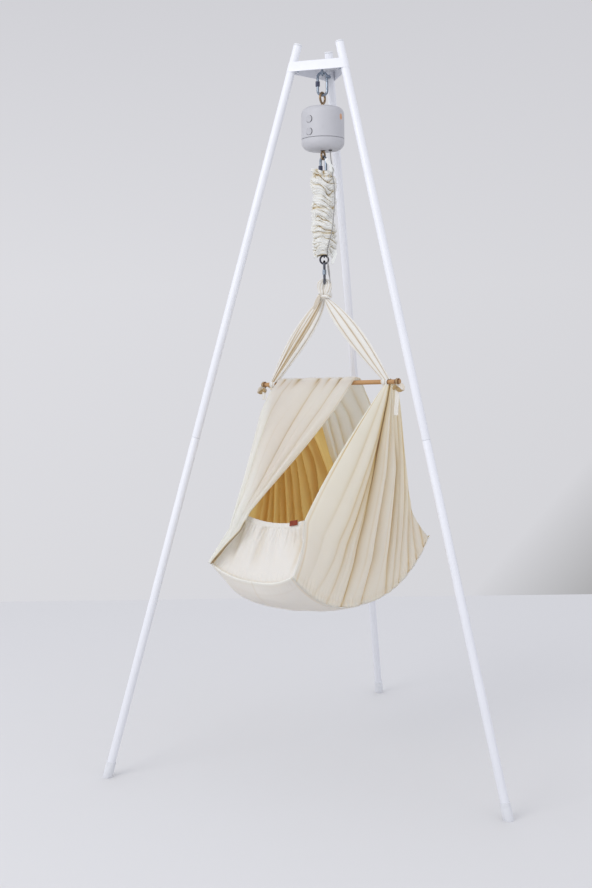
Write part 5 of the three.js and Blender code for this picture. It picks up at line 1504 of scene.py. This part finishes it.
def tape(path, across, width, thickness):
    """A soft tape: a flat oval section, whose width may change, carried along a path with its width
    kept across."""
    ahead = unit(np.gradient(path, axis=0))
    rise = unit(np.cross(ahead, across))
    side = np.cross(rise, ahead)
    angle = np.linspace(0, TURN, 17)[None, :, None]
    wide = np.broadcast_to(width, len(path))[:, None, None] / 2
    grid = (
        path[:, None] + side[:, None] * wide * np.cos(angle) + rise[:, None] * thickness / 2 * np.sin(angle)
    )
    return capped(grid)


def bow_leaf(root, way, length, width, across, opening=(0, 0.0042, 0)):
    """A bow's loop as a leaf: out along its way and back beside it, widest in the middle and pinched at
    the root."""
    t = np.linspace(0.06, TURN - 0.06, 44)
    out = (1 - np.cos(t)) / 2
    path = root + np.array(way) * (length * out)[:, None] + np.array(opening) * np.sin(t)[:, None]
    return tape(path, np.array(across), width * (0.35 + 0.65 * np.sin(np.pi * out**0.8) + 0.25 * out), 0.0013)


def make_loop():
    """The cloth band goes up on one side, over the link's wire and down on the other, twisting to the
    bar."""
    neck, over, spread = 0.007, 0.0035 + 0.002 + 0.004, 0.011
    route = np.array([
        [-neck, LOOP_END], [-neck, KNOT_TOP], [-spread, (KNOT_TOP + LOW_WIRE) / 2], [-over, LOW_WIRE],
        [-over * 0.71, LOW_WIRE + over * 0.71], [0, LOW_WIRE + over], [over * 0.71, LOW_WIRE + over * 0.71],
        [over, LOW_WIRE], [spread, (KNOT_TOP + LOW_WIRE) / 2], [neck, KNOT_TOP], [neck, LOOP_END],
    ])
    path = smooth_path(np.column_stack([route[:, 0], 0 * route[:, 0], route[:, 1]]), 8)
    s = np.linspace(0, 1, len(path))
    from_wire = np.abs(2 * s - 1)
    upper = mix(0.0088, 0.0215, ease(from_wire, 0.12, 0.42))
    half = mix(upper, 0.0130, ease(from_wire, 0.66, 0.9)) / 2
    angle = np.linspace(0, TURN, 41)[None]
    body = pleated(angle, 7, 0.16, 0.5)
    wide = half[:, None] * np.cos(angle) * body
    section = np.stack([wide, 0.0079 * np.sin(angle) * body + 0 * wide], -1)
    grid = along_path(path, section, [0, -1.0, 0])
    turn = (STRAP_TWIST * ease(from_wire, 0.3, 0.7))[:, None]
    grid = capped(turn_z(grid, turn))
    # Painted shade in the pleats' creases.
    creases = np.broadcast_to((0.9 * (1 - np.abs(np.sin(3.5 * angle + 0.5))) ** 4), grid.shape[:2])
    piece("hanging_band", hung(grid), BAND, "cradle", ["hanger_loop"], sharp=60, painted_shade=creases)


def make_knot():
    """The knot: a wrapped band whose section is a rounded box, with slanting wraps pressed into it."""
    half_x, half_y, wall = 0.007 + 0.006 + 0.0009, 0.008 + 0.0006, 0.004
    angle = np.linspace(0, TURN, 97)[None]
    ring = np.linspace(0, TURN, 33)[:, None]
    cos, sin = np.cos(angle), np.sin(angle)
    bend_x, bend_y = np.sign(cos) * np.abs(cos) ** 0.5, np.sign(sin) * np.abs(sin) ** 0.5
    bulge = wall / 2 * (1 + np.cos(ring))
    spiral = np.abs(np.sin(2 * angle + ring * 1.5 + 0.6))
    wraps = 0.0018 * spiral * (1 + np.cos(ring)) / 2
    height = (KNOT_TOP + KNOT_LOW) / 2 + (0.0068 + 0.002 * np.sin(2 * angle + 1)) * np.sin(ring)
    height = height + 0.0025 * np.sin(angle + 0.8)
    grid = stacked((half_x + bulge + wraps) * bend_x, (half_y + bulge + wraps) * bend_y, height)
    # Painted shade between the wraps and on the leaf.
    creases = 0.8 * (1 - spiral) ** 5 * (1 + np.cos(ring)) / 2
    root = np.array([-0.012, -0.010, KNOT_LOW + 0.011])
    leaf = bow_leaf(root, unit(np.array([-0.42, -0.12, -0.9])), 0.042, 0.010, [0.9, 0, -0.42])
    painted_shade = np.concatenate([creases.ravel(), np.full(leaf.shape[0] * leaf.shape[1], 0.3)])
    piece("wrapped_knot", [hung(turn_z(grid, STRAP_TWIST)), hung(leaf)], BAND, "cradle", ["strap_knot"],
          sharp=60, painted_shade=painted_shade)


def bar_wrap(side):
    """The strap's end wound once round the bar: a closed band, 21 mm wide, whose folds lean along the
    bar."""
    ring = np.linspace(0, TURN, 41)[:, None]
    angle = np.linspace(0, TURN, 65)[None]
    folds = np.abs(np.sin(2.5 * ring + 1.5 * np.sin(angle) + 0.4))
    out = 0.5 + 0.5 * np.cos(ring)
    radius = BAR_RADIUS + 0.0004 + 0.0034 * out + 0.0014 * folds * out
    place = 0.0105 * np.sin(ring) * (1 + 0.18 * np.sin(angle + 0.5)) + 0.0022 * np.sin(angle)
    x = on_bar(side, STRAP_PLACE) + place
    z = radius * np.cos(angle) + bar_rise(x)
    # The second value is painted shade in the valleys between its folds.
    return stacked(x, radius * np.sin(angle), z), 0.85 * (1 - folds) ** 4 * out


def make_straps():
    """Each bundle runs from the knot to the bar: level pleated sections whose width and depth swell by
    a half sine."""
    knot_half = 0.0139
    for name, side in (("left", -1), ("right", 1)):
        top, under = LOOP_END - GAP - BAR_HEIGHT, KNOT_LOW - GAP - BAR_HEIGHT
        start = knot_half / 2
        end_height = BAR_RADIUS + GAP + 0.013 * np.tan(BAR_TILT) + GAP
        landing = on_bar(side, STRAP_PLACE)
        low = bar_rise(landing) + end_height
        s = np.linspace(0, 1, 150)[:, None]
        angle = np.linspace(0, TURN, 113)[None]
        fullness = np.sin(np.pi * s**0.8)
        half_width = mix(mix(start - GAP, 0.013, s), 0.036, fullness)
        half_depth = mix(mix(0.007, 0.008, s), 0.010, fullness)
        lobes = 9 if side < 0 else 7
        body = pleated(angle + 0.35 * s, lobes, 0.06 + 0.12 * fullness, 0.9)
        x = mix(side * start, landing, s) + half_width * body * np.cos(angle)
        y = half_depth * body * np.sin(angle)
        z = mix(under, low, s) + 0 * angle
        head = stacked(side * start + (start - GAP) * np.cos(angle), 0.007 * np.sin(angle), top + 0 * angle)
        grid = np.concatenate([head, stacked(x, y, z)])
        # Painted shade in the pleats' valleys, and on the left bundle painted shade stripes down one side.
        valley = (
            (1 - np.abs(np.sin(lobes / 2 * (angle + 0.35 * s) + 0.9))) ** 3.5 * (0.85 if side < 0 else 0.8)
        )
        if side < 0:
            shade_stripe = bell(angle - 5.05 + 0.25 * s, 0, 0.16) + 0.8 * bell(angle - 4.2, 0.2 * s, 0.08)
            valley = valley + 0.75 * shade_stripe * ease(s, 0.0, 0.06)
        creases = np.concatenate([0 * angle, 0 * angle, valley + 0 * s, 0 * angle])
        wrap, wrap_mask = bar_wrap(side)
        painted_shade = np.concatenate([creases.ravel(), wrap_mask.ravel()])
        piece(f"pleated_strap_{name}", [cradled(capped(grid)), cradled(wrap)], BAND, "cradle",
              [f"strap_bundle_{name}"], sharp=60, painted_shade=painted_shade)


def make_bows():
    """A tape tied round each end of the bar: a wound ring, two leaves of a bow, a hanging tail and a
    small knot."""
    inner = BAR_RADIUS / np.cos(np.pi / 16) + GAP
    reach = inner + 0.0013
    for name, side, tail_length in (("left", -1, 0.034), ("right", 1, 0.080)):
        place = on_bar(side, BOW_PLACE)
        ring = softened([(inner, -0.004), (inner + 0.0026, -0.0036), (inner + 0.0026, 0),
                         (inner + 0.0026, 0.0036), (inner, 0.004), (inner, -0.004)], 0.001)
        grid = lathe(ring, 48)
        band = np.stack([grid[..., 2], grid[..., 1], -grid[..., 0]], -1)
        root = np.array([0, -0.0035, -reach - 0.001])
        outer = bow_leaf(root, unit(np.array([side * 0.80, -0.1, -0.60])), 0.023, 0.0105,
                         [0.7, 0.6, side * 0.5], [0.6 * side * 0.006, 0.003, 0.8 * 0.006])
        other = bow_leaf(
            root, unit(np.array([-side * 0.62, -0.25, -0.75])), 0.016, 0.009, [0.75, 0, -side * 0.62]
        )
        s = np.linspace(0, 1, 40)
        path = stacked(
            0.0020 * np.sin(5 * s) - side * 0.004 * s, -0.004 - 0.002 * np.sin(3 * s),
            -reach - tail_length * s
        )
        hanging = tape(path, np.array([1.0, 0.15, 0]), 0.0135 * (0.50 + 0.38 * ease(s, 0, 0.25)), 0.0014)
        knot_s = np.linspace(0, np.pi, 17)[:, None]
        knot_a = np.linspace(0, TURN, 33)[None]
        swell = 1 + 0.12 * np.sin(5 * knot_a + 3 * knot_s)
        knot = stacked(0.0044 * swell * np.sin(knot_s) * np.cos(knot_a),
                       0.0038 * swell * np.sin(knot_s) * np.sin(knot_a) - 0.003,
                       -reach - 0.0012 + 0.0040 * np.cos(knot_s) + 0 * knot_a)
        grids = [cradled(along_bar(g, place)) for g in (band, outer, other, hanging, knot)]
        count = [g.shape[0] * g.shape[1] for g in grids]
        # Painted shade: the ring darkest at its sides and paler in the middle, the leaves with their far
        # halves darker, the tail and knot light.
        winding = 1.0 - 0.45 * bell(band[..., 0], 0, 0.0014)
        leaves = [np.full(size, 0.45) * (np.arange(size) > size / 2) + 0.25 for size in count[1:3]]
        painted_shade = np.concatenate([winding.ravel(), *leaves, np.full(count[3], 0.06), np.full(count[4], 0.2)])
        piece(f"tied_bow_{name}", grids, BAND, "cradle", [f"bow_tie_{name}"], sharp=60, painted_shade=painted_shade)


def make_tag():
    """A blank folded leather label on the foot panel: a rounded plate that follows the cloth."""
    depth = LOW_DROP - RIM_DROP
    share = 1 - (0.001 + GAP) / depth
    u = np.linspace(-1, 1, 25)[None]
    v = np.linspace(-1, 1, 13)[:, None]
    here = end_panel(-1, np.array(share), np.array(TAG_PLACE))
    right = unit(end_panel(-1, np.array(share), np.array(TAG_PLACE + GAP / RIM_HALF_WIDTH)) - here)
    up = unit(end_panel(-1, np.array(share + GAP / depth), np.array(TAG_PLACE)) - here)
    out = unit(np.cross(right, up))
    up = np.cross(out, right)
    edge = (1 - np.abs(u) ** 14) * (1 - np.abs(v) ** 8)
    faces = []
    for way in (1, -1):
        lift = CLOTH / 2 + 0.0040 - 0.0012 * v + way * 0.0009 * np.sqrt(np.maximum(edge, 0))
        plane = here + right * (u * 0.0150 + 0 * v)[..., None] + up * (v * 0.0068 + 0 * u)[..., None]
        faces.append(cradled(plane + out * lift[..., None]))
    piece("blank_label", faces, LEATHER, "cradle", ["leather_tag"])


make_loop()
make_knot()
make_straps()
make_bows()
make_tag()


# The frame's own pieces that stay get their finish

KEPT = {
    "motor_chassis": ZINC, "gear_motor": DARK_STEEL, "drive_pinion": DARK_STEEL,
    "circuit_board": BOARD,
    **{f"bracket_bolt_{side}": ZINC for side in LEGS},
    **{f"leg_sleeve_{side}": ZINC for side in LEGS},
}
for node, look in KEPT.items():
    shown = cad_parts[node].data
    shown.materials.clear()
    shown.materials.append(look)


# Floor, backdrop and light

FLOOR_GLOW, FLOOR_HALF, FLOOR_BACK = 0.02, 2.9, 2.02
LAMP_COLOUR = (1.0, 0.99, 0.97)


def floor_finish():
    """A matt pale floor. The camera sees a little more of it than its light gives, as in the washed out
    photograph."""
    material, nodes, shader = finish("floor_matt", Roughness=0.9, Specular_IOR_Level=0.1)
    shader.inputs["Base Color"].default_value = (0.612, 0.612, 0.618, 1)
    path = nodes.add("ShaderNodeLightPath")
    glow = nodes.add("ShaderNodeEmission", {"Color": (0.95, 0.95, 1.0, 1), "Strength": nodes.math(
        "MULTIPLY", path.outputs["Is Camera Ray"], FLOOR_GLOW)})
    both = nodes.add("ShaderNodeAddShader", {0: shader.outputs[0], 1: glow.outputs[0]})
    nodes.join(both.outputs[0], material.node_tree.nodes["Material Output"].inputs["Surface"])
    return material


def make_floor():
    """A floor of one face that ends where the photograph's wall begins."""
    near = AXIS + HEADING * -FLOOR_HALF
    far = AXIS + HEADING * FLOOR_BACK
    wide = HEADING_SIDE * FLOOR_HALF
    mesh = bpy.data.meshes.new("floor")
    corners = [near - wide, near + wide, far + wide, far - wide]
    mesh.from_pydata([(float(p[0]), float(p[1]), 0.0) for p in corners], [], [(0, 1, 2, 3)])
    mesh.materials.append(floor_finish())
    floor = linked("floor", mesh)


def make_light():
    """A large soft lamp at the left front, a weak one at the right, and a pale sky that is a little
    weaker to the right. The camera sees it as the photograph's wall: paler to the left, dark low on the
    right and greyer higher up."""
    world = bpy.data.worlds.new("room")
    bpy.context.scene.world = world
    world.use_nodes = True
    nodes = Nodes(world.node_tree)
    out = world.node_tree.nodes["World Output"]
    lit = world.node_tree.nodes["Background"]
    lit.inputs["Color"].default_value = (0.93, 0.94, 1.0, 1)
    way = nodes.add("ShaderNodeSeparateXYZ", {0: nodes.add("ShaderNodeTexCoord").outputs["Generated"]})
    nodes.join(nodes.spread(way.outputs[0], -1, 1, 1.13, 0.98), lit.inputs["Strength"])
    falling = nodes.math(
        "ADD", nodes.math("MULTIPLY", way.outputs[0], 0.6), nodes.math("MULTIPLY", way.outputs[2], -0.5)
    )
    # The backdrop's tone is painted light and shade on the wall: paler to the left, greyer higher up, and a
    # painted shadow low on the right.
    tone = nodes.blend(nodes.spread(falling, -0.45, 0.03), (0.74, 0.74, 0.775, 1), (0.67, 0.67, 0.70, 1))
    tone = nodes.blend(nodes.spread(falling, 0.02, 0.12), tone, (0.25, 0.25, 0.245, 1))
    tone = nodes.blend(nodes.spread(way.outputs[2], 0.05, 0.35), tone, (0.61, 0.61, 0.645, 1))
    seen = nodes.add("ShaderNodeBackground", {"Color": tone, "Strength": 1.0})
    path = nodes.add("ShaderNodeLightPath")
    rays = nodes.math("MAXIMUM", path.outputs["Is Camera Ray"], path.outputs["Is Transmission Ray"])
    rays = nodes.math("MAXIMUM", rays, path.outputs["Is Glossy Ray"])
    blend = nodes.add("ShaderNodeMixShader", {0: rays, 1: lit.outputs[0], 2: seen.outputs[0]})
    nodes.join(blend.outputs[0], out.inputs["Surface"])
    for name, place, size, power in (
        ("key", AXIS - HEADING * 3.0 - HEADING_SIDE * 3.2 + [0, 0, 3.4], 2.8, 70),
        ("fill", AXIS - HEADING * 2.6 + HEADING_SIDE * 2.6 + [0, 0, 1.5], 2.4, 5),
    ):
        data = bpy.data.lights.new(name, "AREA")
        data.shape = "SQUARE"
        data.size = size
        data.energy = power
        data.color = LAMP_COLOUR
        aim = unit(AXIS + [0, 0, 0.85] - place)
        right = unit(np.cross(aim, [0, 0, 1.0]))
        stand_at(linked(name, data), right, np.cross(right, aim), aim, place)


make_floor()
make_light()
bpy.context.scene.view_settings.view_transform = "Standard"

bpy.context.view_layer.update()
